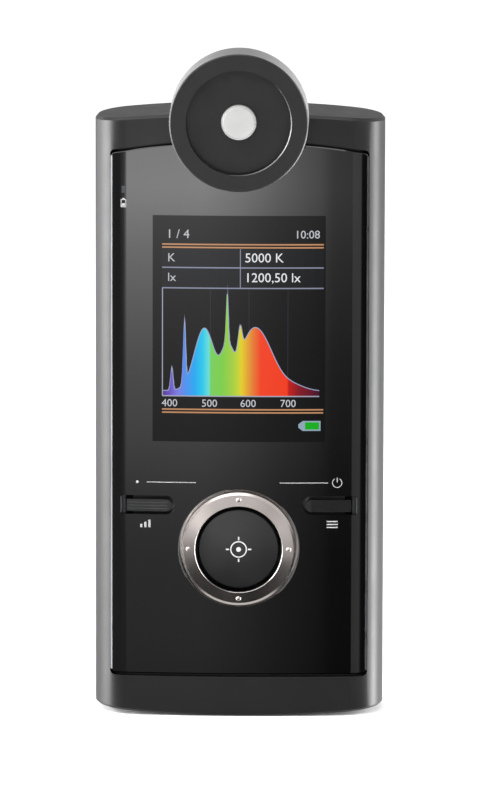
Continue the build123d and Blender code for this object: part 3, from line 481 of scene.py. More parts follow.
def make_piece(name: str, mesh: Mesh, body: str, slot: str, finish: Finish | None = None,
               smooth: float = 0.0) -> bpy.types.Object:
    """Turns a mesh in place into a piece that rides on a body.

    Args:
        name: the piece's name.
        mesh: its mesh, in metres and in place.
        body: the CAD body that it rides on.
        slot: the record's material slot.
        finish: its finish, where it isn't the slot's own.
        smooth: the angle in degrees below which edges are shaded smooth, or 0 for flat.

    Returns:
        The piece.
    """
    finish = finish or FINISHES[slot]
    mesh.name = name
    mesh.materials.clear()
    mesh.materials.append(finish.build())
    if smooth:
        mesh.shade_smooth()
        mesh.set_sharp_from_angle(angle=math.radians(smooth))
    piece = new_object(name, mesh)
    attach(piece, body)
    log.info("%s: %d faces, %s, rides on %s", name, len(mesh.polygons), finish.name, body)
    return piece


def mesh_from(builder: Builder) -> Mesh:
    """Ends a bmesh, which is freed, and gives its mesh."""
    mesh = bpy.data.meshes.new("piece")
    builder.to_mesh(mesh)
    builder.free()
    return mesh


class Drawing:
    """A flat drawing, seen from the front, that is laid on a surface.

    Each method that adds to it gives the drawing back.
    """

    def __init__(self) -> None:
        """Starts an empty drawing."""
        self.builder = bmesh.new()

    def row(self, points: Sequence[Point]) -> Row:
        """Adds loose points."""
        return [self.builder.verts.new((x, z, 0.0)) for x, z in points]

    def polygon(self, points: Sequence[Point]) -> "Drawing":
        """Adds one filled outline, its corners against the clock."""
        self.builder.faces.new(self.row(points))
        return self

    def bar(self, left: float, right: float, low: float, high: float, step: float = 2.0) -> "Drawing":
        """Adds a level bar, in lengths of at most a step so that it can follow a curve."""
        count = max(1, math.ceil((right - left) / step))
        edges = [left + (right - left) * i / count for i in range(count + 1)]
        bridge(self.builder, [self.row([(x, z) for x in edges]) for z in (low, high)])
        return self

    def ring(self, middle: Point, outer: float, inner: float, start: float = 0.0, end: float = 360.0,
             step: float = 10.0) -> "Drawing":
        """Adds a ring or a part of one.

        Args:
            middle: its centre.
            outer, inner: its radii.
            start, end: where it begins and ends, in degrees from the right, against the clock.
            step: the turn in degrees that stays straight.

        Returns:
            The drawing.
        """
        steps = max(6, int(abs(end - start) / step))
        turns = [math.radians(start + (end - start) * i / steps) for i in range(steps + 1)]
        far, near = (self.row([(middle[0] + r * math.cos(t), middle[1] + r * math.sin(t)) for t in turns])
                     for r in (outer, inner))
        bridge(self.builder, (near, far), flip=True)
        return self

    def disc(self, x: float, z: float, radius: float) -> "Drawing":
        """Adds a filled circle of a radius round a centre."""
        return self.polygon([(x + radius * across, z + radius * up) for across, up in circle(24)])

    def words(self, text: str, x: float, z: float, height: float, align: str = "LEFT") -> "Drawing":
        """Adds plain letters or numbers.

        Args:
            text: the generic words.
            x, z: where they stand, level with their middle.
            height: the height of a capital.
            align: LEFT, CENTER or RIGHT.

        Returns:
            The drawing.
        """
        capital_share = 0.7
        curve = bpy.data.curves.new("words", "FONT")
        curve.body = text
        curve.align_x = align
        curve.align_y = "CENTER"
        curve.size = height / capital_share
        curve.resolution_u = 3
        holder = new_object("words", curve)
        mesh = final_mesh(holder)
        mesh.transform(Matrix.Translation((x, z, 0.0)))
        bpy.data.objects.remove(holder)
        bpy.data.curves.remove(curve)
        return self.add(mesh)

    def add(self, mesh: Mesh) -> "Drawing":
        """Adds a flat mesh, which is used up."""
        self.builder.from_mesh(mesh)
        bpy.data.meshes.remove(mesh)
        return self

    def lay(self, surface: Callable[[float, float], Vector]) -> Mesh:
        """Lays the drawing on a surface.

        Args:
            surface: the rule from a point of the drawing to a place in metres.

        Returns:
            The mesh, with its faces towards the viewer.
        """
        for vertex in self.builder.verts:
            vertex.co = surface(vertex.co.x, vertex.co.y)
        return mesh_from(self.builder)


@dataclass
class RepeatTree:
    """Geometry Nodes that set copies of one part along a line and make them real.

    Without a part it sets flat bars, in short lengths so that they can follow a curve.
    """

    name: str
    part: Mesh | None = None

    def mesh(self, count: int, pitch: Place, material: bpy.types.Material, start: Place,
             bar: Point = (0.0, 0.0)) -> Mesh:
        """Makes the row as one plain mesh.

        Args:
            count: how many copies.
            pitch: the step from one to the next.
            material: the copies' material.
            start: the place of the first.
            bar: the width and height of a bar, where no part is given.

        Returns:
            The mesh, in the units of the sizes given.
        """
        tree = bpy.data.node_groups.new(self.name, "GeometryNodeTree")
        nodes = Nodes(tree)
        values = {"Count": ("Int", count), "Pitch": ("Vector", pitch), "Start": ("Vector", start),
                  "Bar width": ("Float", bar[0]), "Bar height": ("Float", bar[1]), "Finish": ("Material", material)}
        sockets = {label: tree.interface.new_socket(label, in_out="INPUT", socket_type="NodeSocket" + kind).identifier
                   for label, (kind, _) in values.items()}
        tree.interface.new_socket("Row", in_out="OUTPUT", socket_type="NodeSocketGeometry")
        given = nodes.add("NodeGroupInput").outputs
        line = {"Count": given["Count"], "Start Location": given["Start"], "Offset": given["Pitch"]}
        points = nodes.add("GeometryNodeMeshLine", line).outputs["Mesh"]
        if self.part is None:
            sizes = {"Size X": given["Bar width"], "Size Y": given["Bar height"], "Vertices X": 9, "Vertices Y": 2}
            shape = nodes.add("GeometryNodeMeshGrid", sizes).outputs["Mesh"]
        else:
            holder = bpy.data.objects.new(self.name + "_part", self.part)
            shape = nodes.add("GeometryNodeObjectInfo", {"Object": holder}).outputs["Geometry"]
        copies = nodes.add("GeometryNodeInstanceOnPoints", {"Points": points, "Instance": shape}).outputs["Instances"]
        real = nodes.add("GeometryNodeRealizeInstances", {"Geometry": copies}).outputs["Geometry"]
        dressed = nodes.add("GeometryNodeSetMaterial", {"Geometry": real, "Material": given["Finish"]})
        nodes.add("NodeGroupOutput", {"Row": dressed.outputs["Geometry"]})
        carrier = new_object(self.name, bpy.data.meshes.new(self.name))
        modifier = carrier.modifiers.new(self.name, "NODES")
        modifier.node_group = tree
        for label, (_, value) in values.items():
            modifier[sockets[label]] = value
        result = final_mesh(carrier)
        carrier.modifiers.clear()
        bpy.data.objects.remove(carrier)
        if self.part is not None:
            bpy.data.objects.remove(holder)
        return result


# The finish of each material slot in the record, with what it gives the eye
FINISHES: dict[str, Finish] = {
    # ABS moulded over a spark-eroded tool: dark, satin, with a grain that breaks up highlights
    "casing": Finish("ABS_spark_eroded_anthracite", "#19191a", 0.32, grain=0.16, rise=0.004, shade=0.05,
                     patch=14.0, gloss=0.24),
    # The same plastic with a coarser grain; the head's round band is paler grey, a painted highlight for the top
    # light on it
    "head_casing": PaintedHighlightDrum("ABS_spark_eroded_head", "#1f1f20", 0.38, centre=(0.0, 0.0, HEAD_CENTRE), grain=0.18,
                          rise=0.005, shade=0.05, patch=8.0, gloss=0.24),
    # Acrylic sheet printed black behind: a mirror-smooth face that is nearly black on its own
    "window_glass": Finish("acrylic_polished_black", "#010101", 0.035, grain=3.0, rise=0.0006, uneven=0.3,
                           shade=0.1, patch=20.0),
    # Acrylic transfer tape: greyish and slightly tacky, seen only at the glass edge
    "adhesive": Finish("acrylic_transfer_tape", "#3c3d3f", 0.5, grain=0.6),
    # Polarising film over a dark panel: a soft grey sheen under the glass
    "display_panel": Finish("polarising_film_laminated", "#101114", 0.12, grain=0.3, rise=0.001),
    # Urethane foam, cut: matt with open pores
    "foam": Finish("urethane_foam_cut", "#1d1d1f", 0.95, grain=0.35, rise=0.12, shade=0.2),
    # Polycarbonate blend moulded with a plain tool: dark, evenly matt
    "black_plastic": Finish("polycarbonate_moulded_black", "#1a1a1b", 0.5, grain=0.3, rise=0.006),
    # Polyimide film over copper: amber and glossy, with its tracks showing through
    "flexible_circuit": Laminate("polyimide_film_circuit", "#a8611c", 0.3, grain=0.5, rise=0.004, track=0.5,
                                 track_colour="#c98a3a"),
    # Glass epoxy laminate under solder mask: green and glossy, paler over the tracks
    "circuit_board": Laminate("glass_epoxy_solder_mask", "#12532c", 0.35, rise=0.008, track=0.9,
                              track_colour="#2c7a46"),
    # Steel, zinc plated: pale, slightly blue, with a brushed gloss
    "zinc_screw": Brushed("steel_zinc_plated", "#b9bcc0", 0.32, streak=(0.1, 2.0), rise=0.004),
    # Steel, chemically blackened: near black with an oily gloss
    "black_screw": Brushed("steel_blackened", "#2b2b2d", 0.38, streak=(0.08, 1.2), rise=0.004),
    # Spring steel strip, rolled: bright with streaks along the strip
    "spring_steel": Brushed("spring_steel_rolled", "#9a9a9c", 0.28, streak=(0.08, 3.0), rise=0.003, axis="X"),
    # Silicone rubber, moulded: milky grey and matt
    "silicone": Finish("silicone_moulded_grey", "#6c6e72", 0.62, grain=0.8, sheen=0.1),
    # ABS moulded and painted gloss black: near black, with small clear reflections
    "key_plastic": Finish("ABS_painted_gloss_black", "#0a0a0b", 0.18, grain=0.14, rise=0.003, shade=0.06),
    # ABS moulded and painted matt black: a soft broad highlight over the dome
    "button_plastic": Finish("ABS_painted_matt_black", "#131314", 0.38, grain=0.12, rise=0.003, shade=0.05),
    # Zinc die casting, blasted and chromed: warm silver with soft reflections and faint rings; black in its bore as
    # painted shade
    "satin_chrome": Plated("zinc_die_cast_satin_chrome", "#bdb5b1", 0.2, centre=(0.0, 0.0, RING_CENTRE),
                           grain=0.12, rise=0.003, shade=0.03),
    # Epoxy moulding compound: charcoal, matt, faintly speckled
    "chip_resin": Finish("epoxy_moulding_compound", "#202124", 0.6, grain=0.1, rise=0.006, shade=0.15, patch=0.8),
    # Tinned steel sheet, drawn: soft silver with roll streaks
    "tin_plate": Brushed("steel_sheet_tinned", "#b4b3ae", 0.35, streak=(0.12, 4.0), rise=0.004, axis="X"),
    # Steel can, deep drawn and nickel plated: bright, with streaks down its side
    "cell_steel": Brushed("steel_cell_can_nickel", "#c2c1bd", 0.25, streak=(0.1, 3.0), rise=0.003),
    # Epoxy lens over phosphor: pale yellow, half clear
    "led_resin": Opal("epoxy_lens_yellow", "#e6dc9c", 0.3, depth=0.4),
    # Polycarbonate, polished in the tool: clear with a slight blue
    "clear_plastic": Clear("polycarbonate_polished_clear", "#e9eef2", 0.06, ior=1.58, rise=0.001),
    # Steel sheet, pressed and nickel plated: bright with a yellow tinge
    "nickel_steel": Brushed("steel_nickel_plated", "#bdb8ae", 0.22, streak=(0.1, 2.5), rise=0.003, axis="X"),
    # Nitrile rubber, moulded: black, dull, with a dusty grain
    "flap_rubber": Finish("nitrile_rubber_moulded", "#1b1b1c", 0.72, grain=0.25, rise=0.012, sheen=0.15),
    # Foil pouch round the cells: soft silver with shallow creases
    "battery_wrap": Finish("aluminium_foil_pouch", "#9fa2a6", 0.36, metallic=0.75, grain=5.0, rise=0.12, patch=12.0),
    # Phosphor bronze, gold flashed: yellow, smooth
    "contact_metal": Brushed("phosphor_bronze_gold_flash", "#d8b25a", 0.22, streak=(0.08, 1.5), rise=0.002),
    # Brass bar, turned: warm yellow with tool rings
    "insert_brass": Turned("brass_turned", "#b98f45", 0.28, ring=0.3, grain=0.2, rise=0.004),
    # Opal acrylic, moulded: white that glows a little below its skin
    "opal": Opal("acrylic_opal_moulded", "#c0c0bf", 0.32, depth=1.5, grain=0.5, rise=0.002, shade=0.02),
    # Filter glass, ground and polished: faint blue-green
    "filter_glass": Clear("filter_glass_polished", "#bfe0e2", 0.03, ior=1.52, rise=0.0005),
    # Aluminium die casting, anodised black: deep grey with a metallic bloom
    "sensor_housing": Finish("aluminium_anodised_black", "#26272a", 0.4, metallic=0.7, grain=0.2, rise=0.005),
    # Steel bar, ground: bright, with fine streaks
    "hinge_steel": Brushed("steel_bar_ground", "#a7a9ab", 0.2, streak=(0.08, 2.0), rise=0.002, axis="Y"),
    # Bronze powder, pressed and sintered: brown, dull and finely porous
    "bush_brass": Brushed("bronze_bush_sintered", "#a9824a", 0.45, streak=(0.2, 0.6), rise=0.008),
    # PVC jacket, extruded: black, softly glossy
    "cable_jacket": Finish("pvc_jacket_extruded", "#1c1c1e", 0.42, grain=0.5, rise=0.004),
}

# The head's recess edge: a thin pale line on one side, a painted highlight
RECESS_EDGE_HIGHLIGHT = Finish("ABS_recess_edge_painted_highlight", "#6e6e70", 0.28, grain=0.3, rise=0.002, shade=0.1, patch=6.0)
# Paler paint lines on the keys' fine ridges: a painted highlight, level lines where the ridges catch the light
KEY_RIDGE_HIGHLIGHT = Finish("ABS_key_ridge_painted_highlight", "#2c2d2f", 0.3, grain=0.14, rise=0.003, shade=0.2, patch=3.0)
# Pad-printed ink: light grey, matt, with a slightly broken edge
INK = Finish("pad_printed_ink_grey", "#b0b0b2", 0.55, grain=0.1, rise=0.002, shade=0.05)
# Bevelled edge of the acrylic, diamond cut, drawn as a pale grey strip: a painted highlight for the side light that
# it catches as a thin line
PAINTED_EDGE_HIGHLIGHT = Finish("acrylic_edge_painted_highlight", "#5c5d60", 0.25, grain=0.3, rise=0.002, shade=0.2, patch=12.0)
# The same edge on the right, which the main light doesn't reach: painted shade, a dark line beside the right key
PAINTED_EDGE_SHADE = Finish("acrylic_edge_painted_shade", "#1d1d1f", 0.3, grain=0.3, rise=0.002, shade=0.2, patch=12.0)
# The window where the print is left thin before the charge light: a smoky grey spot
SMOKED_PORT = Finish("window_smoked_port", "#34363a", 0.25)
# Lacquer burnt away by a laser: pale grey, matt, with a crisp edge
INK_ON_KEYS = Finish("laser_etched_legend", "#cfd0d2", 0.5, grain=0.1, rise=0.002, shade=0.04)
# Paper sweep, matt: nearly white, without a mark of its own
PAPER = Finish("paper_sweep_white", "#f7f7f7", 0.9, grain=2.0, rise=0.02, shade=0.01, patch=300.0)


class CadPieces:
    """The CAD nodes that keep their shape and get a finish."""

    def build(self) -> None:
        """Gives each node the finish of its slot in the record."""
        slots = {part["node"]: part["material_slot"] for part in frame["record"]["subparts"]}
        for name, node in frame["nodes"].items():
            finish = FINISHES[slots[name]]
            for place in node.material_slots:
                place.material = finish.build()
            log.info("%s: CAD node in %s", name, finish.name)


@dataclass
class DisplayPicture:
    """The lit picture on the display: a heading, a small table and a filled spectrum."""

    left: float = -17.95
    right: float = 17.85
    low: float = 58.15
    high: float = 105.65
    rule_left: float = -15.98
    rule_right: float = 17.44
    plot_left: float = PLOT_LEFT
    plot_right: float = PLOT_RIGHT
    base: float = 67.76
    peak: float = 22.0
    capital: float = 1.75
    steps: int = 200
    first_row: float = 96.75
    second_row: float = 92.65

    def build(self) -> None:
        """Builds the dark pane and all that is drawn on it."""
        self.pane()
        self.rules()
        self.table()
        self.spectrum()
        self.axis()
        self.battery_mark()

    def draw(self, name: str, drawing: Drawing, layer: Layer, finish: Finish) -> None:
        """Lays a drawing on the window and makes it a piece."""
        make_piece(name, drawing.lay(on_skin(layer)), "case", "display_panel", finish)

    def pane(self) -> None:
        """The dark picture area, with cooler cells in the table."""
        sheen = {"roughness": 0.07, "grain": 2.0, "rise": 0.0004}
        pane = Drawing().bar(self.left, self.right, self.low, self.high, 1.0)
        self.draw("display_pane", pane, Layer.PANE, Lit("display_black_backlit", "#101011", **sheen))
        cells = Drawing().bar(self.rule_left, self.rule_right, 90.6, 98.6)
        self.draw("display_cells", cells, Layer.GRID, Lit("display_cells_backlit", "#16171b", **sheen))

    def rules(self) -> None:
        """The double rules in copper, the table's rules and the faint lines of the plot."""
        double, table = Drawing(), Drawing()
        for drawing, half, heights in ((double, 0.15, (99.62, 98.98, 64.95, 64.3)), (table, 0.13, (94.75, 90.46))):
            for z in heights:
                drawing.bar(self.rule_left, self.rule_right, z - half, z + half)
        self.draw("display_rules", double, Layer.FILL, Lit("display_copper_lines", "#c08b62"))
        table.bar(0.12, 0.3, 90.5, 98.7)
        self.draw("display_table_lines", table, Layer.FILL, Lit("display_pale_lines", "#888ca2"))
        faint = Lit("display_faint_lines", "#34343f")
        row = RepeatTree("plot_grid_lines").mesh(3, (8.04, 0.0, 0.0), faint.build(), (-6.0, 79.0, 0.0), (0.1, 22.3))
        self.draw("display_grid_lines", Drawing().add(row), Layer.GRID, faint)

    def table(self) -> None:
        """Plain numbers, units and signs in the heading and the table."""
        bright = Lit("display_white_figures", "#e8e9ec")
        soft = Lit("display_grey_figures", "#bfc0c6")
        large = self.capital * 1.1
        heading = Drawing().words("1 / 4", -15.1, 101.7, self.capital * 1.05)
        heading.words("10:08", 16.7, 101.65, self.capital * 0.95, "RIGHT")
        self.draw("display_heading", heading, Layer.MARK, soft)
        labels = Drawing().words("K", -14.9, self.first_row, self.capital)
        labels.words("lx", -14.9, self.second_row, self.capital)
        self.draw("display_labels", labels, Layer.MARK, soft)
        figures = Drawing().words("5000 K", 1.1, self.first_row, large).words("1200,50 lx", 1.1, 92.6, large)
        self.draw("display_figures", figures, Layer.MARK, bright)

    def power(self, wavelength: float) -> float:
        """The height of the drawn spectrum at a wavelength in nanometres, from 0 to 1."""
        # centre and half width in nanometres, and height: mercury lines over two phosphor humps
        humps = ((404, 4.5, 0.22), (436, 4.5, 0.6), (487, 36.0, 0.6), (545, 20.0, 0.33), (545, 4.0, 0.48),
                 (578, 7.0, 0.24), (612, 50.0, 0.58), (655, 35.0, 0.1), (700, 50.0, 0.08))
        floor = 0.05
        total = sum(height * math.exp(-(((wavelength - centre) / width) ** 2)) for centre, width, height in humps)
        return min(1.0, floor + total)

    def spectrum(self) -> None:
        """The filled spectrum and its pale outline, thicker where it is steep."""
        shares = [i / self.steps for i in range(self.steps + 1)]
        points = [(self.plot_left + (self.plot_right - self.plot_left) * share,
                   self.base + self.peak * self.power(FIRST_WAVE + WAVE_SPAN * share)) for share in shares]
        half_line, steepest = 0.09, 6.0
        fill, line = Drawing(), Drawing()
        for (left, low), (right, high) in zip(points, points[1:]):
            fill.polygon([(left, self.base), (right, self.base), (right, high), (left, low)])
            half = half_line * math.sqrt(1 + min((high - low) / (right - left), steepest) ** 2)
            line.polygon([(left, low - half), (right, high - half), (right, high + half), (left, low + half)])
        self.draw("display_spectrum", fill, Layer.FILL, SpectrumLight("display_spectrum_colours", "#ffffff"))
        self.draw("display_spectrum_line", line, Layer.MARK, Lit("display_outline", "#9aa3c4"))

    def axis(self) -> None:
        """The plot's axes with plain numbers."""
        axes = Drawing().bar(self.plot_left - 0.1, self.plot_left + 0.1, self.base, 90.4)
        axes.bar(self.plot_left, self.plot_right, self.base - 0.12, self.base + 0.12)
        self.draw("display_axes", axes, Layer.MARK, Lit("display_axis_lines", "#a2a5b8"))
        numbers = Drawing()
        for text, x in (("400", -14.41), ("500", -6.15), ("600", 1.87), ("700", 10.15)):
            numbers.words(text, x, 66.2, 1.55, "CENTER")
        self.draw("display_axis_numbers", numbers, Layer.MARK, Lit("display_axis_figures", "#c6c7ce"))

    def battery_mark(self) -> None:
        """The green battery sign at the lower right."""
        case = Drawing().polygon([(13.2, 60.5), (16.9, 60.5), (16.9, 62.6), (13.2, 62.6), (12.3, 61.9), (12.3, 61.2)])
        self.draw("display_battery_case", case, Layer.FILL, Lit("display_battery_outline", "#8fa6b4"))
        level = Drawing().bar(13.7, 16.6, 60.8, 62.3)
        self.draw("display_battery_level", level, Layer.MARK, Lit("display_battery_green", "#16ab1c"))


@dataclass
class WindowPrint:
    """The generic signs printed on the front window, and the painted highlight and painted shade along the window's
    cut edges.
    """

    line_height: float = 49.5
    line_half: float = 0.08
    power_across: float = 20.4
    sign_across: float = 19.4
    sign_height: float = 40.7
    edge_across: float = 26.7
    edge_width: float = 0.36
    edge_low: float = 9.6
    edge_high: float = 117.9
    ring_rim: float = 12.5
    slot_rim: float = 24.45
    slot_centre: float = 44.66

    def build(self) -> None:
        """Builds the signs, the edges and the port of the charge light."""
        self.signs()
        self.edges()
        self.mark("window_light_port", Drawing().bar(-24.4, -23.6, 110.2, 111.65), SMOKED_PORT)

    def mark(self, name: str, drawing: Drawing, finish: Finish = INK) -> None:
        """Lays one mark on the window."""
        make_piece(name, drawing.lay(on_skin(Layer.MARK)), "case", "window_glass", finish)

    def signs(self) -> None:
        """The lines over the keys, the signs below them and the small battery sign."""
        middle, power = self.line_height, self.power_across
        low, high = middle - self.line_half, middle + self.line_half
        lines = Drawing().disc(-21.1, middle, 0.3).bar(-19.1, -8.9, low, high).bar(8.5, 18.5, low, high)
        lines.ring((power, middle), 1.05, 0.9, 120, 420)
        lines.bar(power - self.line_half, power + self.line_half, middle + 0.1, middle + 1.1)
        self.mark("window_lines", lines)
        store = Drawing()
        foot = self.sign_height - 0.8
        for i, rise in enumerate((0.7, 1.15, 1.6)):
            left = -self.sign_across - 1.1 + i * 0.85
            store.bar(left, left + 0.45, foot, foot + rise)
        self.mark("window_sign_store", store)
        pitch, bar = 0.62, (2.3, 0.24)
        start = (self.sign_across, self.sign_height - pitch, 0.0)
        menu = RepeatTree("list_sign_bars").mesh(3, (0.0, pitch, 0.0), INK.build(), start, bar)
        self.mark("window_sign_list", Drawing().add(menu))
        cell = Drawing().bar(-24.55, -23.45, 107.2, 107.34).bar(-24.55, -23.45, 108.7, 108.84)
        cell.bar(-24.25, -23.75, 108.84, 109.1).bar(-24.55, -24.41, 107.3, 108.75)
        cell.bar(-23.59, -23.45, 107.3, 108.75).bar(-24.3, -23.7, 107.45, 108.0)
        self.mark("window_sign_battery", cell)

    def edges(self) -> None:
        """The cut edges: painted shade on the right, and painted highlights on the left and round the ring and keys.
        """
        inner = self.edge_across - self.edge_width
        # painted shade: the right edge, dark where the side light doesn't reach
        black = Drawing().bar(inner, self.edge_across, self.edge_low, self.edge_high)
        self.mark("window_black_edge", black, PAINTED_EDGE_SHADE)
        # painted highlights: the left edge, the lit arcs of the ring's rim and the rims beside the keys
        edge = Drawing().bar(-self.edge_across, -inner, self.edge_low, self.edge_high)
        for start, end in ((100, 210), (-50, 45)):
            edge.ring((0.0, RING_CENTRE), self.ring_rim + 0.1, self.ring_rim, start, end, 3.0)
        for side in (-1, 1):
            left, right = sorted((side * self.slot_rim, side * (self.slot_rim + 0.08)))
            edge.bar(left, right, self.slot_centre - 1.7, self.slot_centre + 1.7)
        self.mark("window_polished_edge", edge, PAINTED_EDGE_HIGHLIGHT)


@dataclass
class Controls:
    """The marks on the four-way ring, on the left key and on the button inside the ring."""

    ring_face: float = 10.5
    ring_inner: float = 9.15
    ring_fall: float = 0.45
    ring_width: float = 2.25
    dome_crown: float = 10.3
    dome_flatness: float = 111.3
    key_stand: float = 0.4
    stud: float = 0.5
    stud_rise: float = 0.2
    stud_place: float = 10.4

    def on_ring(self, x: float, z: float) -> Vector:
        """Lays a point of a drawing on the ring's sloping face."""
        radius = math.hypot(x, z - RING_CENTRE)
        depth = self.ring_face - self.ring_fall * (radius - self.ring_inner) / self.ring_width
        return Vector((x, -depth - Layer.GRID.value, z)) * MM

    def on_key(self, x: float, z: float) -> Vector:
        """Lays a point of a drawing on the raised face of a side key."""
        return Vector((x, -CASE.depth(x) - self.key_stand - Layer.PANE.value, z)) * MM

    def on_dome(self, x: float, z: float) -> Vector:
        """Lays a point of a drawing on the button's dome."""
        radius = math.hypot(x, z - RING_CENTRE)
        return Vector((x, -self.dome_crown + radius ** 2 / self.dome_flatness - Layer.GRID.value, z)) * MM

    def build(self) -> None:
        """Builds the ring's studs, the painted highlights on the left key's ridges and the button's sign."""
        make_piece("ring_studs", self.studs(), "ring", "satin_chrome", smooth=60.0)
        # painted highlights: three paler level lines on the left key
        start, bar = (-18.9, 44.0, 0.0), (8.2, 0.16)
        ridges = RepeatTree("key_ridges").mesh(3, (0.0, 0.62, 0.0), KEY_RIDGE_HIGHLIGHT.build(), start, bar)
        make_piece("data_key_ridges", Drawing().add(ridges).lay(self.on_key), "data_key", "key_plastic", KEY_RIDGE_HIGHLIGHT)
        sign = Drawing().ring((0.0, RING_CENTRE), 1.75, 1.5).disc(0.0, RING_CENTRE, 0.5)
        for across, up in circle(4):
            sign.polygon([(out * across - side * up, RING_CENTRE + out * up + side * across)
                          for out, side in ((1.95, -0.15), (2.65, -0.15), (2.65, 0.15), (1.95, 0.15))])
        make_piece("measure_sign", sign.lay(self.on_dome), "measure_key", "button_plastic", INK_ON_KEYS)

    def studs(self) -> Mesh:
        """Makes the four round studs of the ring, which the thumb finds without looking."""
        builder = bmesh.new()
        for side, up in ((-1, 0), (1, 0), (0, -1), (0, 1)):
            middle = self.on_ring(side * self.stud_place, RING_CENTRE + up * self.stud_place)
            rows = []
            for share in (1.0, 0.85, 0.6, 0.3):
                radius = self.stud * share
                rise = self.stud_rise * math.sqrt(1 - share ** 2)
                places = [Vector((radius * x, -rise, radius * z)) * MM for x, z in circle(24)]
                rows.append([builder.verts.new(middle + place) for place in places])
            bridge(builder, rows, closed=True)
            builder.faces.new(rows[-1])
        return mesh_from(builder)


def add_thread(builder: Builder, place: Axis, crest: float, root: float, pitch: float, reach: Point) -> None:
    """Adds the flanks of a helical thread, clipped to the length that it may fill.

    Args:
        builder: the bmesh that takes it.
        place: the rule of its axis.
        crest, root: the radii at which it stands out and lies deep; in a bore, which faces the
            axis, the crest is the smaller.
        pitch: the height of one turn.
        reach: the heights between which it lies.
    """
    segments = 16
    turns = math.ceil((reach[1] - reach[0]) / pitch) + 1
    rows = []
    for i in range(turns * segments + 1):
        angle = math.tau * i / segments
        rise = reach[0] - pitch + pitch * i / segments
        profile = ((rise, root), (rise + pitch / 2, crest), (rise + pitch, root))
        row = [builder.verts.new(place(angle, radius, min(max(up, reach[0]), reach[1]))) for up, radius in profile]
        rows.append(row[::-1] if crest < root else row)
    bridge(builder, rows, flip=True)


def add_lathe(builder: Builder, place: Axis, rows: Sequence[Sequence[float]]) -> list[Row]:
    """Adds a turned surface; a third value in a row makes it a hexagon of that corner radius.

    Args:
        builder: the bmesh that takes it.
        place: the rule of its axis.
        rows: height and radius of each row.

    Returns:
        The points, one list for each row.
    """
    segments = 24
    sixth = math.pi / 6
    made = []
    for up, radius, *corner in rows:
        row = []
        for i in range(segments):
            angle = math.tau * i / segments
            if corner:
                off = (angle + sixth) % (2 * sixth) - sixth
                radius = corner[0] * math.cos(sixth) / math.cos(abs(off) - sixth)
            row.append(builder.verts.new(place(angle, radius, up)))
        made.append(row)
    bridge(builder, made, closed=True)
    return made


@dataclass
class Screws:
    """Four equal screws that face the back: a pan head with a cross recess on a real thread."""

    node: str
    body: str
    slot: str
    across: float
    heights: Point
    top: float
    head_radius: float
    head_height: float
    shank: float
    length: float
    pitch: float

    def place(self, angle: float, radius: float, depth: float) -> Vector:
        """A place in metres: the screw points to the front, with its head's face at zero."""
        return Vector((radius * math.cos(angle), -depth, radius * math.sin(angle))) * MM

    def part(self) -> Mesh:
        """Makes one screw, with the middle of its head's face at zero."""
        builder = bmesh.new()
        wide, tall, end = self.head_radius, self.head_height, self.length
        root = self.shank * 0.74
        edge = wide * 0.14
        rows = add_lathe(builder, self.place, (
            (0.0, wide - 2 * edge), (edge * 0.4, wide - edge * 0.6), (edge * 1.4, wide), (tall, wide),
            (tall, root), (end - root, root), (end, root * 0.3)))
        builder.faces.new(rows[-1])
        self.recess(builder, rows[0])
        add_thread(builder, self.place, self.shank, root, self.pitch, (tall, end - root))
        return mesh_from(builder)

    def recess(self, builder: Builder, rim: Row) -> None:
        """Closes the head's face round a cross recess with tapered walls."""
        arm = self.head_radius * 0.52
        half = self.head_radius * 0.13
        taper, deep = 0.72, self.head_height * 0.6
        corners = [(along * x - side * z, along * z + side * x)
                   for x, z in circle(4) for along, side in ((arm, -half), (arm, half), (half, half))]
        loops = [[builder.verts.new(Vector((share * x, -depth, share * z)) * MM) for x, z in corners]
                 for share, depth in ((1.0, 0.0), (taper, deep))]
        edges = [builder.edges.get(pair) or builder.edges.new(pair)
                 for loop in (rim, loops[0]) for pair in zip(loop, loop[1:] + loop[:1])]
        face = bmesh.ops.bridge_loops(builder, edges=edges)["faces"]
        bridge(builder, loops, closed=True, flip=True)
        builder.faces.new(loops[1][::-1])
        for flat in face:
            flat.normal_update()
            if flat.normal.y < 0:
                flat.normal_flip()

    def build(self) -> None:
        """Sets the four screws and puts them in place of the CAD node."""
        builder = bmesh.new()
        for up in self.heights:
            tree = RepeatTree(self.node + "_row", self.part())
            start = (-self.across * MM, self.top * MM, up * MM)
            builder.from_mesh(tree.mesh(2, (2 * self.across * MM, 0.0, 0.0), FINISHES[self.slot].build(), start))
        piece = make_piece(self.node + "_cut", mesh_from(builder), self.body, self.slot, smooth=35.0)
        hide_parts(self.node)


@dataclass
class TripodInsert:
    """The brass insert in the foot, with its collar and the thread of a tripod screw."""

    outer: float = 4.2
    length: float = 8.0
    collar: float = 5.0
    collar_low: float = 3.4
    collar_high: float = 5.0
    crest: float = 2.6
    root: float = 3.12
    pitch: float = 1.27

    def place(self, angle: float, radius: float, up: float) -> Vector:
        """A place in metres round the upright axis."""
        return Vector((radius * math.cos(angle), radius * math.sin(angle), up)) * MM

    def build(self) -> None:
        """Builds the insert and puts it in place of the CAD node."""
        builder = bmesh.new()
        add_lathe(builder, self.place, (
            (0.0, self.root), (0.0, self.outer), (self.collar_low, self.outer),
            (self.collar_low, 0.0, self.collar), (self.collar_high, 0.0, self.collar),
            (self.collar_high, self.outer), (self.length, self.outer), (self.length, self.root)))
        add_thread(builder, self.place, self.crest, self.root, self.pitch, (0.0, self.length))
        piece = make_piece("tripod_insert_threaded", mesh_from(builder), "case", "insert_brass", smooth=25.0)
        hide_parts("tripod_insert")


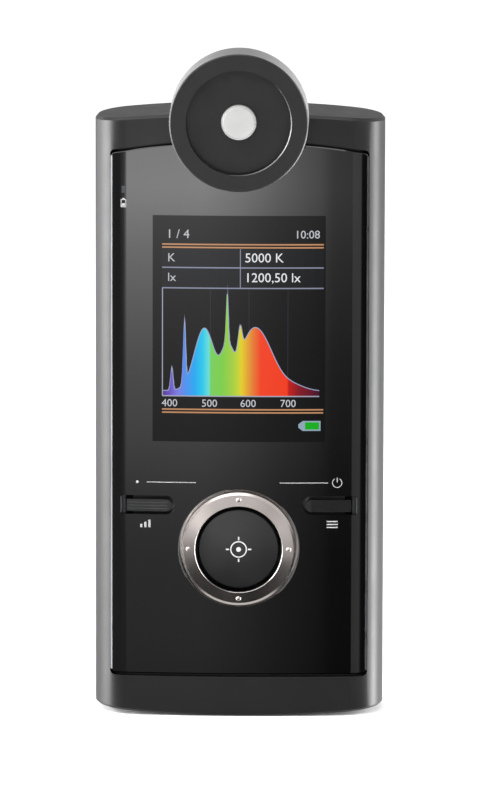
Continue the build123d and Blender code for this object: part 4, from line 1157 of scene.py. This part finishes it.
@dataclass
class ChipLegs:
    """The bent legs at both sides of the chips on the circuit board."""

    pitch: float = 0.8
    width: float = 0.3
    count: int = 8
    # how far out and how deep each bend of a leg lies
    bends: tuple[Point, ...] = ((0.0, -0.25), (0.22, -0.25), (0.34, -0.77), (0.75, -0.77))
    # left edge, right edge and lowest leg of each chip
    chips: tuple[Place, ...] = ((-18.0, -11.0, 81.1), (-7.0, 0.0, 81.1), (5.25, 8.75, 15.8))

    def part(self, side: int) -> Mesh:
        """Makes one leg that starts at zero and bends down to the board.

        Args:
            side: -1 for the left of a chip and 1 for its right.

        Returns:
            Its mesh.
        """
        builder = bmesh.new()
        half = self.width / 2
        rows = [[builder.verts.new(Vector((side * out, depth, rise)) * MM) for rise in (-half, half)]
                for out, depth in self.bends]
        bridge(builder, rows, flip=side < 0)
        return mesh_from(builder)

    def build(self) -> None:
        """Builds all the legs as one piece."""
        builder = bmesh.new()
        tin = FINISHES["tin_plate"].build()
        for left, right, low in self.chips:
            for side, x in ((-1, left), (1, right)):
                tree = RepeatTree("chip_legs", self.part(side))
                pitch = (0.0, 0.0, self.pitch * MM)
                builder.from_mesh(tree.mesh(self.count, pitch, tin, (x * MM, 0.0, low * MM)))
        make_piece("board_chip_legs", mesh_from(builder), "case", "tin_plate")


@dataclass
class HeadRecessHighlight:
    """A painted highlight on the inner edge of the head's recess: a pale line at the lower right, where the light
    falls.
    """

    front: float = 20.78
    recess: float = 10.9
    width: float = 0.2
    fall: float = 0.18
    start: float = -100.0
    end: float = 48.0
    steps: int = 60
    thinnest: float = 0.1

    def build(self) -> None:
        """Builds the painted highlight as a thin cone band that narrows to both ends."""
        builder = bmesh.new()
        rows = []
        for i in range(self.steps + 1):
            turn = math.radians(self.start + (self.end - self.start) * i / self.steps)
            width = self.width * max(self.thinnest, math.sqrt(math.sin(math.pi * i / self.steps)))
            sides = ((self.recess - width, self.front - self.fall), (self.recess, self.front))
            rows.append([builder.verts.new(Vector((
                radius * math.cos(turn), -depth, HEAD_CENTRE + radius * math.sin(turn))) * MM)
                for radius, depth in sides])
        bridge(builder, rows)
        make_piece("head_recess_edge", mesh_from(builder), "head", "head_casing", RECESS_EDGE_HIGHLIGHT, smooth=30.0)


@dataclass
class Studio:
    """A pale floor, soft lamps, the room that the glossy window reflects, and the camera.

    Its lengths are in metres, apart from the camera's film.
    """

    aim: Place = (0.0002, -0.0092, 0.0670)
    distance: float = 2.0
    azimuth: float = 1.0
    elevation: float = 10.3
    roll: float = 0.138
    view_height: float = 0.1658
    film: float = 36.0
    card_radius: float = 0.6
    card_reach: Point = (-0.65, 0.45)
    white: float = 1.0
    fill: float = 0.35
    floor_half: float = 4.0
    strip_height: float = 0.5

    def build(self) -> None:
        """Sets up the floor, the light and the camera."""
        bpy.context.scene.view_settings.view_transform = "Standard"
        self.world()
        self.floor()
        self.front_card()
        self.left_card()
        self.right_card()
        self.rear_card()
        # the wide main lamp, whose light is the same over all of the floor
        self.lamp("sky_lamp", "SUN", 2.6, Vector((0.35, 0.45, -1.0)), angle=math.radians(70.0))
        self.strip("left_strip", Vector((-0.6, 0.03, 0.1)), 0.16, 13.0)
        self.strip("right_strip", Vector((0.6, 0.02, 0.1)), 0.12, 12.0)
        self.camera()

    def world(self) -> None:
        """White where the camera and the reflections look, softer as a light."""
        world = bpy.data.worlds.new("studio")
        bpy.context.scene.world = world
        world.use_nodes = True
        nodes = Nodes(world.node_tree)
        path = nodes.add("ShaderNodeLightPath").outputs
        seen = nodes.math("MAXIMUM", path["Is Camera Ray"], path["Is Glossy Ray"])
        seen = nodes.math("MAXIMUM", seen, path["Is Transmission Ray"])
        light = {"Color": (1.0, 1.0, 1.0, 1.0), "Strength": nodes.spread(seen, self.fill, self.white)}
        nodes.feed(nodes.tree.nodes["Background"], light)

    def floor(self) -> bpy.types.Object:
        """Makes the floor, which takes the meter's shadow."""
        builder = bmesh.new()
        bmesh.ops.create_grid(builder, x_segments=2, y_segments=2, size=self.floor_half)
        floor = new_object("floor", mesh_from(builder))
        floor.data.materials.append(PAPER.build())
        floor.visible_glossy = floor.visible_shadow = False
        return floor

    def front_card(self) -> bpy.types.Object:
        """Makes the card that the window mirrors: a lit area that fades down and to the right."""
        stops = ((-60, 0.0, 0.3), (-36, 0.0, 0.3), (-22, 0.1, 0.3), (-20, 0.4, 0.1), (-15, 0.95, 0.0), (-5, 1.0, 0.0),
                 (-1, 0.8, 0.0), (3.3, 0.51, 0.0), (7.6, 0.31, 0.0), (9, 0.18, 0.0), (12, 0.15, 0.0), (14, 0.1, 0.6),
                 (36, 0.05, 0.75), (42, 0.0, 0.1), (60, 0.0, 0.06))
        heights = ((-0.2, 0.008, 0.08), (-0.14, 0.04, 0.08), (-0.11, 0.095, 1.0), (-0.083, 0.113, 1.0),
                   (-0.066, 0.155, 1.0), (-0.05, 0.245, 1.0), (-0.032, 0.33, 1.0), (-0.016, 0.47, 1.0),
                   (0.001, 0.67, 1.0), (0.018, 1.0, 1.0), (0.05, 0.8, 1.0), (0.08, 0.3, 1.0),
                   (0.11, 0.0, 0.8, 0.4), (0.14, 0.0, 0.0, 0.95), (0.45, 0.0, 0.0, 0.95))
        return self.card("front_card", self.card_reach, stops, heights, 5.5)

    def left_card(self) -> bpy.types.Object:
        """Makes the bright card that the casing's round left edge mirrors, softer to the back."""
        stops = ((-145, 0.05), (-130, 0.1), (-112, 0.22), (-100, 0.5), (-90, 0.85), (-80, 1.0), (-72, 1.0),
                 (-68, 0.9), (-65.5, 0.04), (-60, 0.012))
        return self.card("left_card", self.card_reach, stops, ((-0.2, 0.4), (-0.1, 0.6), (0.01, 1.0)), 24.0)

    def right_card(self) -> bpy.types.Object:
        """Makes the bright card that the casing's round right edge mirrors, brighter below."""
        stops = ((60, 0.0), (75, 0.01), (80, 0.8), (85, 1.35), (98, 1.35), (106, 0.45), (120, 0.15), (145, 0.065))
        return self.card("right_card", self.card_reach, stops, ((-0.1, 1.0), (0.01, 0.6), (0.1, 0.5)), 20.0)

    def rear_card(self) -> bpy.types.Object:
        """Makes the grey card behind the meter, which the top faces mirror."""
        heights = ((0.0, 0.0, 0.0, 0.4), (0.5, 0.0, 0.0, 0.4))
        return self.card("rear_card", (0.0, 0.5), ((145, 0.0), (215, 0.0)), heights, 0.0)

    def card(self, name: str, reach: Point, stops: Stops, heights: Stops, strength: float) -> bpy.types.Object:
        """Makes a curved card round the meter that only reflections show.

        Args:
            name: the card's name.
            reach: its lower and upper edge.
            stops: azimuth from the front in degrees, then the fading light and the even light,
                which doesn't fade over the height.
            heights: height, then the share of the fading and of the even light, and a light
                that is the same all round.
            strength: the fading light where its shares are 1.

        Returns:
            The card.
        """
        builder = bmesh.new()
        first, last = stops[0][0], stops[-1][0]
        widest = 2
        count = math.ceil((last - first) / widest)
        turns = [math.radians(first + (last - first) * i / count) for i in range(count + 1)]
        rows = [[builder.verts.new((self.card_radius * math.sin(t), -self.card_radius * math.cos(t), z))
                 for t in turns] for z in reach]
        bridge(builder, rows, flip=True)
        card = new_object(name, mesh_from(builder))
        card.data.materials.append(self.card_light("studio_" + name, stops, heights, strength))
        card.visible_camera = card.visible_diffuse = card.visible_transmission = card.visible_shadow = False
        return card

    def card_light(self, name: str, stops: Stops, heights: Stops, strength: float) -> bpy.types.Material:
        """Makes a card's light, a ramp over the azimuth times a ramp over the height, as for card."""
        material = bpy.data.materials.new(name)
        material.use_nodes = True
        nodes = Nodes(material.node_tree)
        nodes.tree.nodes.clear()
        middle = math.radians((stops[0][0] + stops[-1][0]) / 2)
        place = nodes.add("ShaderNodeTexCoord").outputs["Object"]
        turned = nodes.add("ShaderNodeMapping", {"Vector": place, "Rotation": (0.0, 0.0, -middle)}).outputs["Vector"]
        parts = nodes.add("ShaderNodeSeparateXYZ", {"Vector": turned}).outputs
        turn = nodes.math("ARCTAN2", parts["X"], nodes.math("MULTIPLY", parts["Y"], -1.0))
        across = self.levels(nodes, turn, [(math.radians(spot) - middle, *given) for spot, *given in stops])
        up = self.levels(nodes, parts["Z"], heights)
        fading, even = (nodes.math("MULTIPLY", across[kind], up[kind]) for kind in ("Red", "Green"))
        level = nodes.math("ADD", nodes.math("MULTIPLY_ADD", fading, strength, even), up["Blue"])
        light = nodes.add("ShaderNodeEmission", {"Strength": level}).outputs["Emission"]
        nodes.add("ShaderNodeOutputMaterial", {"Surface": light})
        return material

    def levels(self, nodes: Nodes, value: Socket, stops: Stops) -> bpy.types.NodeOutputs:
        """Adds up to three light levels, Red, Green and Blue, that follow a value from stop to stop."""
        low, high = stops[0][0], stops[-1][0]
        colours = [((spot - low) / (high - low), (*given, *[0.0] * (3 - len(given)), 1.0)) for spot, *given in stops]
        ramp = nodes.ramp(nodes.spread(value, 0.0, 1.0, low, high), colours)
        return nodes.add("ShaderNodeSeparateColor", {"Color": ramp}).outputs

    def lamp(self, name: str, kind: str, power: float, look: Vector, **shape) -> bpy.types.Object:
        """Hangs a lamp.

        Args:
            name: the lamp's name.
            kind: SUN, with its power in watts per square metre, or AREA, with it in watts.
            power: its power.
            look: the way it faces.
            shape: the settings of its size.

        Returns:
            The lamp.
        """
        data = bpy.data.lights.new(name, kind)
        data.energy = power
        for setting, value in shape.items():
            setattr(data, setting, value)
        lamp = new_object(name, data)
        lamp.rotation_euler = look.to_track_quat("-Z", "Y").to_euler()
        return lamp

    def strip(self, name: str, place: Vector, width: float, power: float) -> None:
        """Hangs a soft upright lamp of a width that faces the meter and shows in no reflection."""
        look = Vector(self.aim) - place
        strip = self.lamp(name, "AREA", power, look, shape="RECTANGLE", size=width, size_y=self.strip_height)
        strip.location = place
        strip.visible_glossy = False

    def camera(self) -> None:
        """Places the camera as in the photograph."""
        data = bpy.data.cameras.new("camera")
        data.sensor_fit = "VERTICAL"
        data.sensor_height = self.film
        data.lens = self.film * self.distance / self.view_height
        camera = new_object("camera", data)
        azimuth, elevation, roll = (math.radians(turn) for turn in (self.azimuth, self.elevation, self.roll))
        flat = math.cos(elevation)
        reach = Vector((math.sin(azimuth) * flat, -math.cos(azimuth) * flat, math.sin(elevation))) * self.distance
        camera.location = Vector(self.aim) + reach
        looking = (-reach).to_track_quat("-Z", "Y") @ Matrix.Rotation(roll, 4, "Z").to_quaternion()
        camera.rotation_euler = looking.to_euler()
        bpy.context.scene.camera = camera


def main() -> None:
    """Dresses the meter and sets the studio."""
    logging.basicConfig(level=logging.INFO, format="%(message)s")
    CadPieces().build()
    DisplayPicture().build()
    WindowPrint().build()
    Controls().build()
    HeadRecessHighlight().build()
    Screws("case_screws", "case", "black_screw", across=23.6, heights=(10.5, 104.0), top=7.2,
           head_radius=2.0, head_height=1.3, shank=1.0, length=10.3, pitch=0.8).build()
    Screws("board_screws", "case", "zinc_screw", across=23.6, heights=(30.0, 84.0), top=0.1,
           head_radius=1.7, head_height=0.9, shank=1.0, length=6.1, pitch=0.6).build()
    Screws("head_screws", "head", "black_screw", across=5.4, heights=(117.35, 136.05), top=-10.0,
           head_radius=1.4, head_height=0.9, shank=0.8, length=5.5, pitch=0.5).build()
    TripodInsert().build()
    ChipLegs().build()
    Studio().build()


if __name__ == "__main__":
    main()
